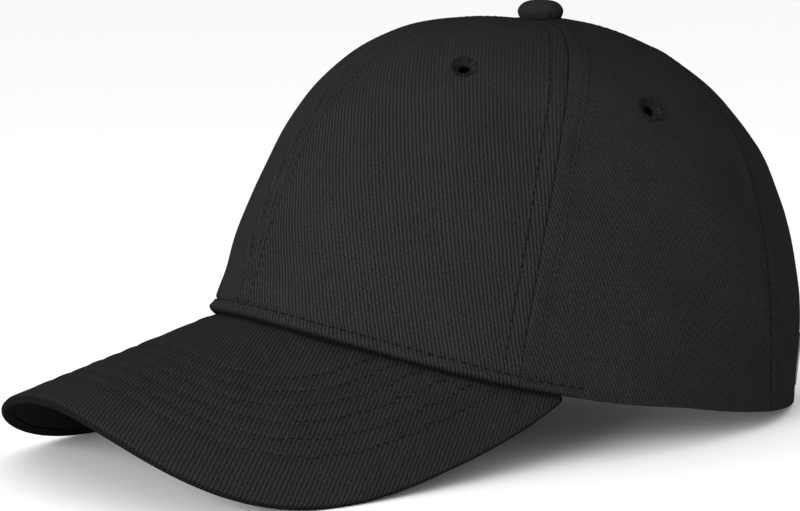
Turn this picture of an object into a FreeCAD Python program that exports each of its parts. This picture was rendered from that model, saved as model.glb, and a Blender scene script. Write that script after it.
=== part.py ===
import FreeCAD, Part
import Sketcher
import math
import os
from FreeCAD import Placement, Rotation, Vector

# Structured six-panel baseball cap, millimetres.
#
# The crown frame has +Z up the crown, the visor towards -Y and the wearer's left at +X. Angles
# round the crown start at the front and grow towards the wearer's left. Everything is carried from
# the crown frame to the resting attitude by one placement: the cap stands on the lower edges of
# its visor and on the two corners of its rear opening.

DIMENSIONS = (
    # crown shell: the rim seen from above is two half superellipses
    ("crown_front", 116.5),
    ("crown_back", 91.9),
    ("crown_half_width", 83.7),
    ("crown_height", 110.5),
    ("apex_setback", 19.8),
    ("rim_power", 2.04),
    ("rear_drop", 41.0),
    ("rear_drop_power", 1.9),
    # how the wall leans and bulges: mean value, front-to-back swing, front-and-back against sides
    ("lean_mean", 1.16),
    ("lean_swing", 20.64),
    ("lean_second", 1.11),
    ("wall_pull_mean", 124.9),
    ("wall_pull_swing", 50.0),
    ("wall_pull_second", 5.7),
    ("top_pull_mean", 25.1),
    ("top_pull_swing", -2.1),
    ("top_pull_second", -7.8),
    ("top_pull_fall", 0.06),
    ("top_share", 0.955),
    # seams between the panels, as angles at the rim and at the apex, and how far they bow
    ("front_seam_rim", 59.1),
    ("front_seam_apex", 79.5),
    ("front_seam_bow", 33.6),
    ("rear_seam_rim", 117.6),
    ("rear_seam_apex", 128.0),
    ("rear_seam_bow", 104.3),
    ("seam_half_gap", 0.15),
    # cloth layers, as depths below the crown's outer surface
    ("panel_thickness", 1.2),
    ("buckram_depth", 1.4),
    ("buckram_thickness", 0.6),
    ("buckram_low_share", 0.02),
    ("buckram_high_share", 0.78),
    ("buckram_margin", 1.5),
    ("buckram_hole_play", 0.5),
    ("tape_depth", 2.2),
    ("tape_thickness", 0.5),
    ("tape_half_width", 6.2),
    ("tape_low_share", 0.03),
    ("tape_top_share", 0.81),
    ("tape_arch_gap", 1.5),
    ("binding_depth", 1.3),
    ("binding_thickness", 0.4),
    ("binding_width", 9.0),
    ("binding_edge_gap", 0.2),
    ("binding_end_turn", 9.0),
    ("sweat_depth_front", 3.1),
    ("sweat_depth_rear", 6.0),
    ("sweat_ease_start", 100.0),
    ("sweat_ease_end", 126.0),
    ("padding_thickness", 0.8),
    ("padding_margin", 3.0),
    ("padding_end_gap", 1.0),
    ("padding_play", 0.3),
    ("sweatband_thickness", 0.7),
    ("sweatband_bottom", 1.0),
    ("sweatband_height", 32.0),
    ("sweatband_end_gap", 1.5),
    ("label_depth", 1.6),
    ("label_thickness", 0.3),
    ("label_bottom", 26.0),
    ("label_top", 48.0),
    ("label_start_angle", 102.0),
    ("label_end_angle", 112.0),
    # visor: a flat outline bent round a cylinder whose axis falls towards the front
    ("visor_reach", 76.5),
    ("visor_half_width", 98.3),
    ("visor_width_line", 25.4),
    ("visor_rear_length", 119.7),
    ("visor_power", 2.45),
    ("visor_bend_radius", 91.6),
    ("visor_slope", 6.56),
    ("visor_corner_angle", 67.6),
    ("visor_seam_inset", 2.0),
    ("visor_corner_inset", 1.5),
    ("visor_end_inset", 1.0),
    ("visor_thickness", 3.2),
    ("visor_cover_thickness", 0.6),
    ("visor_lip", 2.2),
    ("visor_gap", 0.2),
    ("visor_foot_gap", 1.3),
    ("visor_corner_gap", 2.8),
    ("visor_gap_rise_start", 45.6),
    ("visor_gap_rise_end", 63.6),
    ("visor_gap_fall_start", 75.6),
    ("visor_gap_fall_end", 87.6),
    ("visor_board_inset", 2.6),
    ("visor_under_play", 0.2),
    ("visor_under_thinning", 0.1),
    ("visor_top_fraction", 0.97),
    # ventilation eyelets
    ("eyelet_hole_radius", 1.5),
    ("eyelet_waist_radius", 2.2),
    ("eyelet_rim_radius", 4.0),
    ("eyelet_rim_thickness", 0.4),
    ("eyelet_cut_radius", 2.4),
    ("eyelet_gap", 0.2),
    ("eyelet_cutter_length", 12.0),
    ("eyelet_share", 0.4),
    ("front_eyelet_angle", 44.6),
    ("side_eyelet_angle", 96.2),
    ("rear_eyelet_angle", 153.0),
    # button
    ("button_radius", 7.9),
    ("button_height", 5.9),
    ("button_cloth", 0.7),
    ("button_sheet", 0.6),
    ("button_play", 0.1),
    ("button_lip", 5.0),
    ("button_round", 3.4),
    ("button_round_foot", 0.6),
    ("button_lean", 8.0),
    ("button_lift", 0.1),
    ("rivet_radius", 1.6),
    ("rivet_head_radius", 4.0),
    ("rivet_reach", 2.6),
    ("rivet_plate_radius", 7.0),
    ("rivet_plate_thickness", 0.8),
    # rear opening and closure
    ("arch_half_width", 47.0),
    ("arch_height", 58.0),
    ("arch_cut_front", 30.0),
    ("arch_cut_rear", 130.0),
    ("arch_cut_foot", 20.0),
    ("closure_radius", 78.8),
    ("closure_tilt", 15.5),
    ("strap_rise", 5.6),
    ("strap_width", 18.0),
    ("strap_depth", 2.1),
    ("strap_thickness", 1.2),
    ("strap_half_angle", 47.0),
    ("tab_depth", 3.7),
    ("tab_thickness", 0.6),
    ("tab_drop", 2.5),
    ("tab_margin", 1.0),
    ("tab_start_angle", 29.4),
    ("tab_ply_angle", 0.5),
    ("tab_sewn_angle", 35.6),
    ("tab_end_angle", 47.0),
    ("buckle_angle", 22.0),
    ("buckle_half_length", 13.0),
    ("buckle_margin", 2.2),
    ("buckle_plate_depth", 3.0),
    ("buckle_plate_thickness", 1.0),
    ("buckle_bar", 2.4),
    ("buckle_slot", 4.2),
    ("slot_margin", 0.6),
    ("ear_half_length", 3.2),
    ("ear_thickness", 1.2),
    ("ear_height", 7.4),
    ("pin_radius", 0.9),
    ("pin_offset", 6.0),
    ("pin_height", 2.4),
    ("pin_play", 0.05),
    ("pin_fit", 0.02),
    ("knuckle_radius", 1.8),
    ("lever_length", 17.0),
    ("lever_thickness", 1.1),
    ("lever_foot", 0.1),
    ("lever_lip", 1.6),
    ("lever_overlap", 0.5),
    # resting attitude
    ("rest_pitch", 6.46),
    ("stand_back", 47.42),
    ("stand_up", 27.95),
)

SIDES = (("left", 1), ("right", -1))

# Numbers of points in the grids that carry the curved surfaces.
PANEL_ROWS, PANEL_COLUMNS = 15, 13
TAPE_ROWS, TAPE_COLUMNS = 15, 5
BAND_ROWS, BAND_COLUMNS = 5, 61
LABEL_ROWS, LABEL_COLUMNS = 4, 5
BINDING_ROWS, BINDING_COLUMNS = 33, 4
ARCH_POINTS = 25
VISOR_ROWS, VISOR_COLUMNS, VISOR_EDGE_ROWS = 9, 45, 9

# Small moves that give directions, repeats of the searches, and how close two lengths must match.
ANGLE_STEP = 0.5
TURN_STEP = 0.2
SHARE_STEP = 0.005
NEWTON_ANGLE, NEWTON_SHARE, NEWTON_REPEATS = 0.1, 0.001, 12
BISECTIONS = 30
HIGHEST_BAND_SHARE, HIGHEST_BACK_SHARE, FIRST_BACK_SHARE = 0.6, 0.8, 0.3
LEAST_RADIUS = 2.0
MATCH = 0.01

size = {}
kept = []


# ---------- document helpers ----------

def make_sheet(doc):
    """Puts the driving dimensions in a spreadsheet and reads them back into size."""
    sheet = doc.addObject("Spreadsheet::Sheet", "Dimensions")
    for row, (name, number) in enumerate(DIMENSIONS, start=1):
        sheet.set("A%d" % row, name)
        sheet.set("B%d" % row, str(number))
        sheet.setAlias("B%d" % row, name)
    doc.recompute()
    for name, _ in DIMENSIONS:
        size[name] = float(sheet.get(name))
    return sheet


def value(expression):
    """Value of a sum or difference of dimensions and plain numbers."""
    total, sign = 0.0, 1.0
    for word in expression.split(" "):
        if word in "+-":
            sign = 1.0 if word == "+" else -1.0
        else:
            total += sign * (size[word] if word in size else float(word))
            sign = 1.0
    return total


def bind(thing, prop, expression):
    """Binds a property to the sheet; a word from DIMENSIONS stands for its cell."""
    words = expression.split(" ")
    cells = ["Dimensions." + word if word in size else word for word in words]
    thing.setExpression(prop, " ".join(cells))


def stand():
    """Placement that carries the crown frame to the resting attitude."""
    shift = Vector(0, size["stand_back"], size["stand_up"])
    return Placement(shift, Rotation(Vector(1, 0, 0), size["rest_pitch"]))


def place(thing, local=Placement()):
    """Sets a sub-part's placement: its place in the crown frame, then the resting attitude."""
    thing.Placement = stand().multiply(local)


def keep(part):
    """Marks an object as a sub-part that gets its own file."""
    kept.append(part)
    return part


# ---------- crown geometry ----------

def rim_plan(angle):
    """Rim seen from above at an angle in degrees: x and y."""
    sine = math.sin(math.radians(angle))
    cosine = math.cos(math.radians(angle))
    power = size["rim_power"]
    scale = (abs(sine) ** power + abs(cosine) ** power) ** (-1 / power)
    reach = size["crown_front"] if cosine > 0 else size["crown_back"]
    return size["crown_half_width"] * sine * scale, -reach * cosine * scale


def visor_place(across, forward, depth=0.0):
    """Point under the visor's top surface, from its flat pattern, with the seam centre as zero."""
    bend = across / size["visor_bend_radius"]
    radius = size["visor_bend_radius"] - depth
    slope = math.radians(size["visor_slope"])
    fall = size["visor_bend_radius"] - radius * math.cos(bend)
    y = -size["crown_front"] - forward * math.cos(slope) - fall * math.sin(slope)
    return Vector(radius * math.sin(bend), y, -forward * math.sin(slope) - fall * math.cos(slope))


def visor_seam(angle, inset=0.0):
    """Flat pattern point of the visor under the rim, moved in from the rim by an inset."""
    x, y = rim_plan(angle)
    ahead = rim_plan(angle + ANGLE_STEP)
    behind = rim_plan(angle - ANGLE_STEP)
    tangent = Vector(ahead[0] - behind[0], ahead[1] - behind[1], 0).normalize()
    x -= inset * tangent.y
    y += inset * tangent.x
    radius = size["visor_bend_radius"]
    slope = math.radians(size["visor_slope"])
    bend = math.asin(x / radius)
    fall = radius * (1 - math.cos(bend))
    forward = (-size["crown_front"] - y - fall * math.sin(slope)) / math.cos(slope)
    return radius * bend, forward


def visor_lift():
    """Height of the visor's seam centre, which puts its two corners at height zero."""
    across, forward = visor_seam(size["visor_corner_angle"])
    return -visor_place(across, forward).z


def rim_height(angle):
    """Height of the rim: on the visor at the front, then falling away to the back."""
    turn = min(abs(angle), 360.0 - abs(angle))
    corner = size["visor_corner_angle"]
    if turn < corner:
        across, forward = visor_seam(angle)
        return visor_place(across, forward).z + visor_lift()
    share = (turn - corner) / (180.0 - corner)
    return -size["rear_drop"] * (1 - max(0.0, 1 - share) ** size["rear_drop_power"])


def smooth(number, low, high):
    """Eases from 0 at low to 1 at high."""
    share = min(1.0, max(0.0, (number - low) / (high - low)))
    return share * share * (3 - 2 * share)


def foot_gap(angle):
    """Gap between the crown's foot and the visor: more at the steep corners, none behind them."""
    turn = min(abs(angle), 360.0 - abs(angle))
    front = size["visor_foot_gap"]
    rise = smooth(turn, size["visor_gap_rise_start"], size["visor_gap_rise_end"])
    fall = smooth(turn, size["visor_gap_fall_start"], size["visor_gap_fall_end"])
    return (front + (size["visor_corner_gap"] - front) * rise) * (1 - fall)


def swing(name, angle):
    """Value that varies round the crown: mean, swing and second harmonic."""
    turn = math.radians(angle)
    first = size[name + "_swing"] * math.cos(turn)
    return size[name + "_mean"] + first + size[name + "_second"] * math.cos(2 * turn)


def crown_point(angle, share):
    """Point on the crown's outer surface, a cubic curve from the rim (share 0) to the apex (1)."""
    x, y = rim_plan(angle)
    height = size["crown_height"]
    foot = Vector(x, y, rim_height(angle) + foot_gap(angle))
    apex = Vector(0, size["apex_setback"], height)
    outward = Vector(x, y - apex.y, 0).normalize()
    lean = math.radians(swing("lean", angle))
    wall_pull = swing("wall_pull", angle) * (height - foot.z) / height
    top_pull = swing("top_pull", angle)
    up_wall = Vector(0, 0, math.cos(lean)) - outward * math.sin(lean)
    over_top = outward - Vector(0, 0, size["top_pull_fall"])
    low = foot + up_wall * wall_pull
    high = apex + over_top * top_pull
    rest = 1 - share
    near = foot * rest ** 3 + low * (3 * rest ** 2 * share)
    return near + high * (3 * rest * share ** 2) + apex * share ** 3


def crown_normal(angle, share):
    """Outward unit normal of the crown's outer surface."""
    round_step = crown_point(angle + ANGLE_STEP, share) - crown_point(angle - ANGLE_STEP, share)
    up_step = crown_point(angle, share + SHARE_STEP) - crown_point(angle, share - SHARE_STEP)
    return round_step.cross(up_step).normalize()


def crown_layer(angle, share, depth):
    """Point at a depth below the crown's outer surface."""
    return crown_point(angle, share) - crown_normal(angle, share) * depth


def halve(is_below, low, high):
    """Bisection: is_below tells whether a number is still below the one looked for."""
    for _ in range(BISECTIONS):
        middle = (low + high) / 2
        if is_below(middle):
            low = middle
        else:
            high = middle
    return low


def share_at_height(angle, height):
    """Share of the way to the apex at a height above the rim."""
    target = rim_height(angle) + height
    return halve(lambda share: crown_point(angle, share).z < target, 0.0, HIGHEST_BAND_SHARE)


def front_seam(share):
    """Angle of the seam between the front and side panels."""
    spread = size["front_seam_apex"] - size["front_seam_rim"]
    return size["front_seam_rim"] + spread * share + size["front_seam_bow"] * share * (1 - share)


def rear_seam(share):
    """Angle of the seam between the side and back panels."""
    spread = size["rear_seam_apex"] - size["rear_seam_rim"]
    bow = size["rear_seam_bow"] * share ** 3 * (1 - share)
    return size["rear_seam_rim"] + spread * share + bow


def centre_front(share):
    return 0.0


def centre_back(share):
    return 180.0


def turn_for(length, angle, share):
    """Angle that spans a length round the crown at a place on it."""
    point = crown_point(angle, share)
    radius = math.hypot(point.x, point.y - size["apex_setback"])
    return math.degrees(length / max(radius, LEAST_RADIUS))


def steps(first, last, count):
    return [first + (last - first) * index / (count - 1) for index in range(count)]


# ---------- curved slabs ----------

def curved_slab(outer, inner):
    """Solid between two grids of points: two spline faces and ruled sides between their edges."""
    skins = []
    for grid in (outer, inner):
        surface = Part.BSplineSurface()
        surface.interpolate(grid)
        skins.append(surface)
    faces = [skin.toShape() for skin in skins]
    low_u, high_u, low_v, high_v = skins[0].bounds()
    borders = []
    for skin in skins:
        borders.append((skin.uIso(low_u), skin.uIso(high_u), skin.vIso(low_v), skin.vIso(high_v)))
    for outer_border, inner_border in zip(*borders):
        faces.append(Part.makeRuledSurface(outer_border.toShape(), inner_border.toShape()))
    shell = Part.makeShell(faces)
    shell.sewShape()
    solid = Part.makeSolid(shell)
    if solid.Volume < 0:
        solid.reverse()
    return solid


def layer_slab(side, grid, depth, thickness):
    """Slab below the crown's surface; grid holds (angle, share) pairs."""
    skins = []
    for level in (depth, depth + thickness):
        rows = [[crown_layer(angle, share, level) for angle, share in row] for row in grid]
        skins.append([[Vector(side * p.x, p.y, p.z) for p in row] for row in rows])
    return curved_slab(*skins)


def add_slab(doc, name, shape):
    """Adds a curved slab to the document as a sub-part in the resting attitude."""
    part = doc.addObject("Part::Feature", name)
    part.Label = name
    part.Shape = shape
    place(part)
    return part


def panel_grid(first_seam, second_seam, low_share, high_share, margin):
    """Grid between two seams, kept a margin away from each."""
    grid = []
    for share in steps(low_share, high_share, PANEL_ROWS):
        first = first_seam(share)
        second = second_seam(share)
        first += turn_for(margin, first, share)
        second -= turn_for(margin, second, share)
        grid.append([(angle, share) for angle in steps(first, second, PANEL_COLUMNS)])
    return grid


# ---------- crown panels ----------

def eyelet_seat(side, angle):
    """Place of an eyelet: its own axis is the crown's normal."""
    point = crown_point(angle, size["eyelet_share"])
    normal = crown_normal(angle, size["eyelet_share"])
    point.x *= side
    normal.x *= side
    return Placement(point, Rotation(Vector(0, 0, 1), normal))


def make_hole(doc, name, side, angle, radius_name):
    """Cutter for the hole that an eyelet is stitched round."""
    hole = doc.addObject("Part::Cylinder", name)
    bind(hole, "Radius", radius_name)
    bind(hole, "Height", "eyelet_cutter_length")
    inner_end = Placement(Vector(0, 0, -size["eyelet_cutter_length"] / 2), Rotation())
    place(hole, eyelet_seat(side, angle).multiply(inner_end))
    return hole


def make_cut(doc, name, base, tool):
    cut = doc.addObject("Part::Cut", name)
    cut.Label = name
    cut.Base = base
    cut.Tool = tool
    return cut


def arch_shape():
    """Prism of the rear opening along Y."""
    front = size["arch_cut_front"]
    rim = rim_height(180.0)
    points = []
    for turn in steps(0.0, 180.0, ARCH_POINTS):
        x = size["arch_half_width"] * math.cos(math.radians(turn))
        z = rim + size["arch_height"] * math.sin(math.radians(turn))
        points.append(Vector(x, front, z))
    curve = Part.BSplineCurve()
    curve.interpolate(points)
    foot = rim - size["arch_cut_foot"]
    low_right = Vector(points[-1].x, front, foot)
    low_left = Vector(points[0].x, front, foot)
    edges = [curve.toShape()]
    edges.append(Part.makeLine(points[-1], low_right))
    edges.append(Part.makeLine(low_right, low_left))
    edges.append(Part.makeLine(low_left, points[0]))
    return Part.Face(Part.Wire(edges)).extrude(Vector(0, size["arch_cut_rear"] - front, 0))


def make_panels(doc):
    """Six cloth panels with eyelet holes, the back pair cut by the rear opening."""
    layout = (
        ("front", centre_front, front_seam, "front_eyelet_angle"),
        ("side", front_seam, rear_seam, "side_eyelet_angle"),
        ("back", rear_seam, centre_back, "rear_eyelet_angle"),
    )
    for kind, first_seam, second_seam, eyelet in layout:
        grid = panel_grid(first_seam, second_seam, 0.0, size["top_share"], size["seam_half_gap"])
        for side_name, side in SIDES:
            name = "%s_panel_%s" % (kind, side_name)
            shape = layer_slab(side, grid, 0.0, size["panel_thickness"])
            cloth = add_slab(doc, name + "_cloth", shape)
            if kind == "back":
                arch = add_slab(doc, name + "_arch", arch_shape())
                cloth = make_cut(doc, name + "_open", cloth, arch)
            hole = make_hole(doc, name + "_hole", side, size[eyelet], "eyelet_cut_radius")
            keep(make_cut(doc, name, cloth, hole))


def make_buckram(doc):
    """Stiffeners behind the front panels, with room for the inner rims of the eyelets."""
    grid = panel_grid(centre_front, front_seam, size["buckram_low_share"], size["buckram_high_share"],
                      size["buckram_margin"])
    for side_name, side in SIDES:
        name = "buckram_" + side_name
        shape = layer_slab(side, grid, size["buckram_depth"], size["buckram_thickness"])
        sheet = add_slab(doc, name + "_sheet", shape)
        hole = make_hole(doc, name + "_hole", side, size["front_eyelet_angle"], "eyelet_rim_radius")
        bind(hole, "Radius", "eyelet_rim_radius + buckram_hole_play")
        keep(make_cut(doc, name, sheet, hole))


def tape_grid(seam, low_share, high_share):
    """Grid of a tape centred on a seam, straight across."""
    grid = []
    for share in steps(low_share, high_share, TAPE_ROWS):
        middle = seam(share)
        half = turn_for(size["tape_half_width"], middle, share)
        angles = steps(middle - half, middle + half, TAPE_COLUMNS)
        grid.append([(angle, share) for angle in angles])
    return grid


def make_seam_tapes(doc):
    """Six tapes that cover the seam allowances inside the crown."""
    above_arch = size["arch_height"] + size["binding_width"] + size["tape_arch_gap"]
    foot = size["tape_low_share"]
    centre_lines = (("front", centre_front, foot), ("back", centre_back, share_at_height(180.0, above_arch)))
    for name, seam, low_share in centre_lines:
        grid = tape_grid(seam, low_share, size["tape_top_share"])
        shape = layer_slab(1, grid, size["tape_depth"], size["tape_thickness"])
        keep(add_slab(doc, "seam_tape_" + name, shape))
    for name, seam in (("front", front_seam), ("back", rear_seam)):
        for side_name, side in SIDES:
            grid = tape_grid(seam, foot, size["tape_top_share"])
            shape = layer_slab(side, grid, size["tape_depth"], size["tape_thickness"])
            keep(add_slab(doc, "seam_tape_%s_%s" % (name, side_name), shape))


# ---------- sweatband and label ----------

def sweat_depth(angle):
    """Depth of the sweatband's outer face, which leaves a pocket for the strap at the back."""
    spread = size["sweat_depth_rear"] - size["sweat_depth_front"]
    rear = smooth(abs(angle), size["sweat_ease_start"], size["sweat_ease_end"])
    return size["sweat_depth_front"] + spread * rear


def band_slab(extra_depth, thickness, bottom, top, end_angle):
    """Band inside the rim, open at the rear, between two heights above the rim."""
    outer = []
    inner = []
    for height in steps(bottom, top, BAND_ROWS):
        outer_row = []
        inner_row = []
        for angle in steps(-end_angle, end_angle, BAND_COLUMNS):
            share = share_at_height(angle, height)
            depth = sweat_depth(angle) + extra_depth
            outer_row.append(crown_layer(angle, share, depth))
            inner_row.append(crown_layer(angle, share, depth + thickness))
        outer.append(outer_row)
        inner.append(inner_row)
    return curved_slab(outer, inner)


def arch_corner_angle():
    """Angle at which the rear opening meets the rim."""
    return halve(lambda angle: rim_plan(angle)[0] > size["arch_half_width"], 90.0, 180.0)


def make_sweatband(doc):
    """Padding strip against the shell and the band that covers it towards the head."""
    end = arch_corner_angle() - size["sweatband_end_gap"]
    top = size["sweatband_height"]
    margin = size["padding_margin"]
    padding = band_slab(0.0, size["padding_thickness"], margin, top - margin, end - size["padding_end_gap"])
    keep(add_slab(doc, "sweatband_padding", padding))
    depth = size["padding_thickness"] + size["padding_play"]
    band = band_slab(depth, size["sweatband_thickness"], size["sweatband_bottom"], top, end)
    keep(add_slab(doc, "sweatband", band))


def make_label(doc):
    """Blank care label, its lower edge tucked behind the sweatband."""
    grid = []
    for height in steps(size["label_bottom"], size["label_top"], LABEL_ROWS):
        row = []
        for angle in steps(size["label_start_angle"], size["label_end_angle"], LABEL_COLUMNS):
            row.append((angle, share_at_height(angle, height)))
        grid.append(row)
    shape = layer_slab(1, grid, size["label_depth"], size["label_thickness"])
    keep(add_slab(doc, "care_label", shape))


# ---------- rear opening binding ----------

def find_on_back(x, z):
    """Angle and share of the crown's back at a given x and height, by Newton steps."""
    angle = 180.0 - math.degrees(math.asin(x / size["crown_half_width"]))
    share = FIRST_BACK_SHARE
    for _ in range(NEWTON_REPEATS):
        here = crown_point(angle, share)
        by_angle = (crown_point(angle + NEWTON_ANGLE, share) - here) / NEWTON_ANGLE
        by_share = (crown_point(angle, share + NEWTON_SHARE) - here) / NEWTON_SHARE
        spread = by_angle.x * by_share.z - by_angle.z * by_share.x
        gap_x, gap_z = x - here.x, z - here.z
        angle += (gap_x * by_share.z - gap_z * by_share.x) / spread
        share += (by_angle.x * gap_z - by_angle.z * gap_x) / spread
        share = min(HIGHEST_BACK_SHARE, max(0.0, share))
    return angle, share


def make_binding(doc):
    """Facing strip round the rear opening, inside the back panels."""
    grid = []
    foot = rim_height(180.0)
    end = size["binding_end_turn"]
    for turn in steps(end, 180.0 - end, BINDING_ROWS):
        row = []
        for out in steps(size["binding_edge_gap"], size["binding_width"], BINDING_COLUMNS):
            x = (size["arch_half_width"] + out) * math.cos(math.radians(turn))
            z = foot + (size["arch_height"] + out) * math.sin(math.radians(turn))
            row.append(find_on_back(x, z))
        grid.append(row)
    shape = layer_slab(1, grid, size["binding_depth"], size["binding_thickness"])
    keep(add_slab(doc, "rear_arch_binding", shape))


# ---------- visor ----------

def visor_outline(turn, inset):
    """Flat pattern of the visor's outer edge at a turn in degrees, moved in by an inset."""
    def at(value):
        sine = math.sin(math.radians(value))
        cosine = math.cos(math.radians(value))
        power = size["visor_power"]
        scale = (abs(sine) ** power + abs(cosine) ** power) ** (-1 / power)
        ahead = size["visor_reach"] + size["visor_width_line"]
        length = ahead if cosine > 0 else size["visor_rear_length"]
        across = size["visor_half_width"] * sine * scale
        return across, length * cosine * scale - size["visor_width_line"]
    across, forward = at(turn)
    ahead = at(turn + TURN_STEP)
    behind = at(turn - TURN_STEP)
    run_across = ahead[0] - behind[0]
    run_forward = ahead[1] - behind[1]
    length = math.hypot(run_across, run_forward)
    return across + inset * run_forward / length, forward - inset * run_across / length


def outside_crown(turn):
    """Whether the visor's outer edge is still outside the crown's rim at a turn."""
    across, forward = visor_outline(turn, 0.0)
    point = visor_place(across, forward)
    angle = math.degrees(math.atan2(point.x / size["crown_half_width"], -point.y / size["crown_front"]))
    rim_x, rim_y = rim_plan(angle)
    return math.hypot(point.x, point.y) > math.hypot(rim_x, rim_y)


def visor_row(end_turn, fraction, edge_inset, depth):
    """Row of visor points, from the seam (fraction 0) to the outer edge (fraction 1)."""
    row = []
    lift = Vector(0, 0, visor_lift())
    seam_end = size["visor_corner_angle"] - size["visor_corner_inset"]
    for way in steps(-1.0, 1.0, VISOR_COLUMNS):
        seam = visor_seam(way * seam_end, size["visor_seam_inset"])
        edge = visor_outline(way * end_turn, edge_inset)
        across = seam[0] + (edge[0] - seam[0]) * fraction
        forward = seam[1] + (edge[1] - seam[1]) * fraction
        row.append(visor_place(across, forward, depth) + lift)
    return row


def visor_plate(end_turn, edge_inset, depth, thickness):
    """Flat sheet of the visor between two depths."""
    skins = []
    for level in (depth, depth + thickness):
        rows = []
        for fraction in steps(0.0, 1.0, VISOR_ROWS):
            rows.append(visor_row(end_turn, fraction, edge_inset, level))
        skins.append(rows)
    return curved_slab(*skins)


def wrapped_rows(end_turn, peel):
    """Rows of the top cover at a depth in its thickness: top, rounded edge and lip underneath."""
    total = size["visor_thickness"]
    half = total / 2
    rows = []
    for fraction in steps(0.0, size["visor_top_fraction"], VISOR_ROWS + 1):
        rows.append(visor_row(end_turn, fraction, half, peel))
    radius = half - peel
    for turn in steps(0.0, 180.0, VISOR_EDGE_ROWS):
        inset = half - radius * math.sin(math.radians(turn))
        depth = half - radius * math.cos(math.radians(turn))
        rows.append(visor_row(end_turn, 1.0, inset, depth))
    for reach in (size["visor_lip"] / 2, size["visor_lip"]):
        rows.append(visor_row(end_turn, 1.0, half + reach, total - peel))
    return rows


def make_visor(doc):
    """Stiff board between an under cover and a top cover that wraps round the outer edge."""
    end_turn = halve(outside_crown, 90.0, 140.0) - size["visor_end_inset"]
    total = size["visor_thickness"]
    cover = size["visor_cover_thickness"]
    layer = cover + size["visor_gap"]
    board = visor_plate(end_turn, size["visor_board_inset"], layer, total - 2 * layer)
    keep(add_slab(doc, "visor_board", board))
    under_inset = total / 2 + size["visor_lip"] + size["visor_under_play"]
    under_thickness = cover - size["visor_under_thinning"]
    under = visor_plate(end_turn, under_inset, total - cover, under_thickness)
    keep(add_slab(doc, "visor_under_cover", under))
    wrapped = curved_slab(wrapped_rows(end_turn, 0.0), wrapped_rows(end_turn, cover))
    keep(add_slab(doc, "visor_top_cover", wrapped))


# ---------- sketched bodies ----------

def make_body(doc, name):
    body = doc.addObject("PartDesign::Body", name)
    body.Label = name
    return body


def make_sketch(body, name, role):
    """Sketch on one of the body's own origin planes."""
    sketch = body.newObject("Sketcher::SketchObject", name)
    planes = [plane for plane in body.Origin.OriginFeatures if plane.Role == role]
    sketch.AttachmentSupport = [(planes[0], "")]
    sketch.MapMode = "FlatFace"
    return sketch


def fix_point(sketch, geometry, place_on_it, corner):
    """Ties a sketch point to the origin by two distances bound to the sheet."""
    for kind, expression in zip(("DistanceX", "DistanceY"), corner):
        rule = Sketcher.Constraint(kind, -1, 1, geometry, place_on_it, value(expression))
        number = sketch.addConstraint(rule)
        bind(sketch, "Constraints[%d]" % number, expression)


def draw_outline(sketch, corners):
    """Closed straight-sided outline; each corner is a pair of expressions."""
    points = [Vector(value(across), value(up), 0) for across, up in corners]
    first = sketch.GeometryCount
    count = len(points)
    for index, point in enumerate(points):
        sketch.addGeometry(Part.LineSegment(point, points[(index + 1) % count]), False)
    for index in range(count):
        following = first + (index + 1) % count
        sketch.addConstraint(Sketcher.Constraint("Coincident", first + index, 2, following, 1))
    for index, corner in enumerate(corners):
        fix_point(sketch, first + index, 1, corner)


def draw_box(sketch, low, high):
    """Rectangle between two corners."""
    draw_outline(sketch, (low, (high[0], low[1]), high, (low[0], high[1])))


def draw_circle(sketch, centre, radius):
    """Circle whose centre and radius are bound to the sheet."""
    middle = Vector(value(centre[0]), value(centre[1]), 0)
    circle = sketch.addGeometry(Part.Circle(middle, Vector(0, 0, 1), value(radius)), False)
    fix_point(sketch, circle, 3, centre)
    number = sketch.addConstraint(Sketcher.Constraint("Radius", circle, value(radius)))
    bind(sketch, "Constraints[%d]" % number, radius)


def turn_profile(doc, name, corners):
    """Body turned about its own Z axis from a closed outline of (radius, height) corners."""
    body = make_body(doc, name)
    sketch = make_sketch(body, name + "_profile", "XZ_Plane")
    draw_outline(sketch, corners)
    turned = body.newObject("PartDesign::Revolution", name + "_turned")
    turned.Profile = sketch
    turned.ReferenceAxis = (sketch, ["V_Axis"])
    turned.Angle = 360.0
    return body


def is_rim(edge, radius, height):
    """Whether an edge is a circle with a given radius and height."""
    if not isinstance(edge.Curve, Part.Circle):
        return False
    same_radius = abs(edge.Curve.Radius - radius) < MATCH
    return same_radius and abs(edge.Curve.Center.z - height) < MATCH


def round_rims(doc, body, rims):
    """Fillets the circular edges with the given radius and height; a rim is (radius, height, fillet)."""
    for radius, height, fillet in rims:
        doc.recompute()
        base = body.Tip
        names = []
        for number, edge in enumerate(base.Shape.Edges, start=1):
            if is_rim(edge, radius, height):
                names.append("Edge%d" % number)
        rounded = body.newObject("PartDesign::Fillet", body.Name + "_round")
        rounded.Base = (base, names)
        rounded.Radius = fillet


def pad(body, sketch, length, reversed_way=False):
    feature = body.newObject("PartDesign::Pad", sketch.Name + "_pad")
    feature.Profile = sketch
    bind(feature, "Length", length)
    feature.Reversed = reversed_way
    return feature


def drill(doc, body, centre, radius):
    """Hole right through the body along its own Z axis; the volume has to fall."""
    doc.recompute()
    before = body.Shape.Volume
    sketch = make_sketch(body, body.Name + "_bore", "XY_Plane")
    draw_circle(sketch, centre, radius)
    bore = body.newObject("PartDesign::Pocket", body.Name + "_drilled")
    bore.Profile = sketch
    bore.Type = "ThroughAll"
    bore.Midplane = True
    doc.recompute()
    if body.Shape.Volume >= before:
        raise ValueError(body.Name + " was not drilled")


# ---------- eyelets and button ----------

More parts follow.
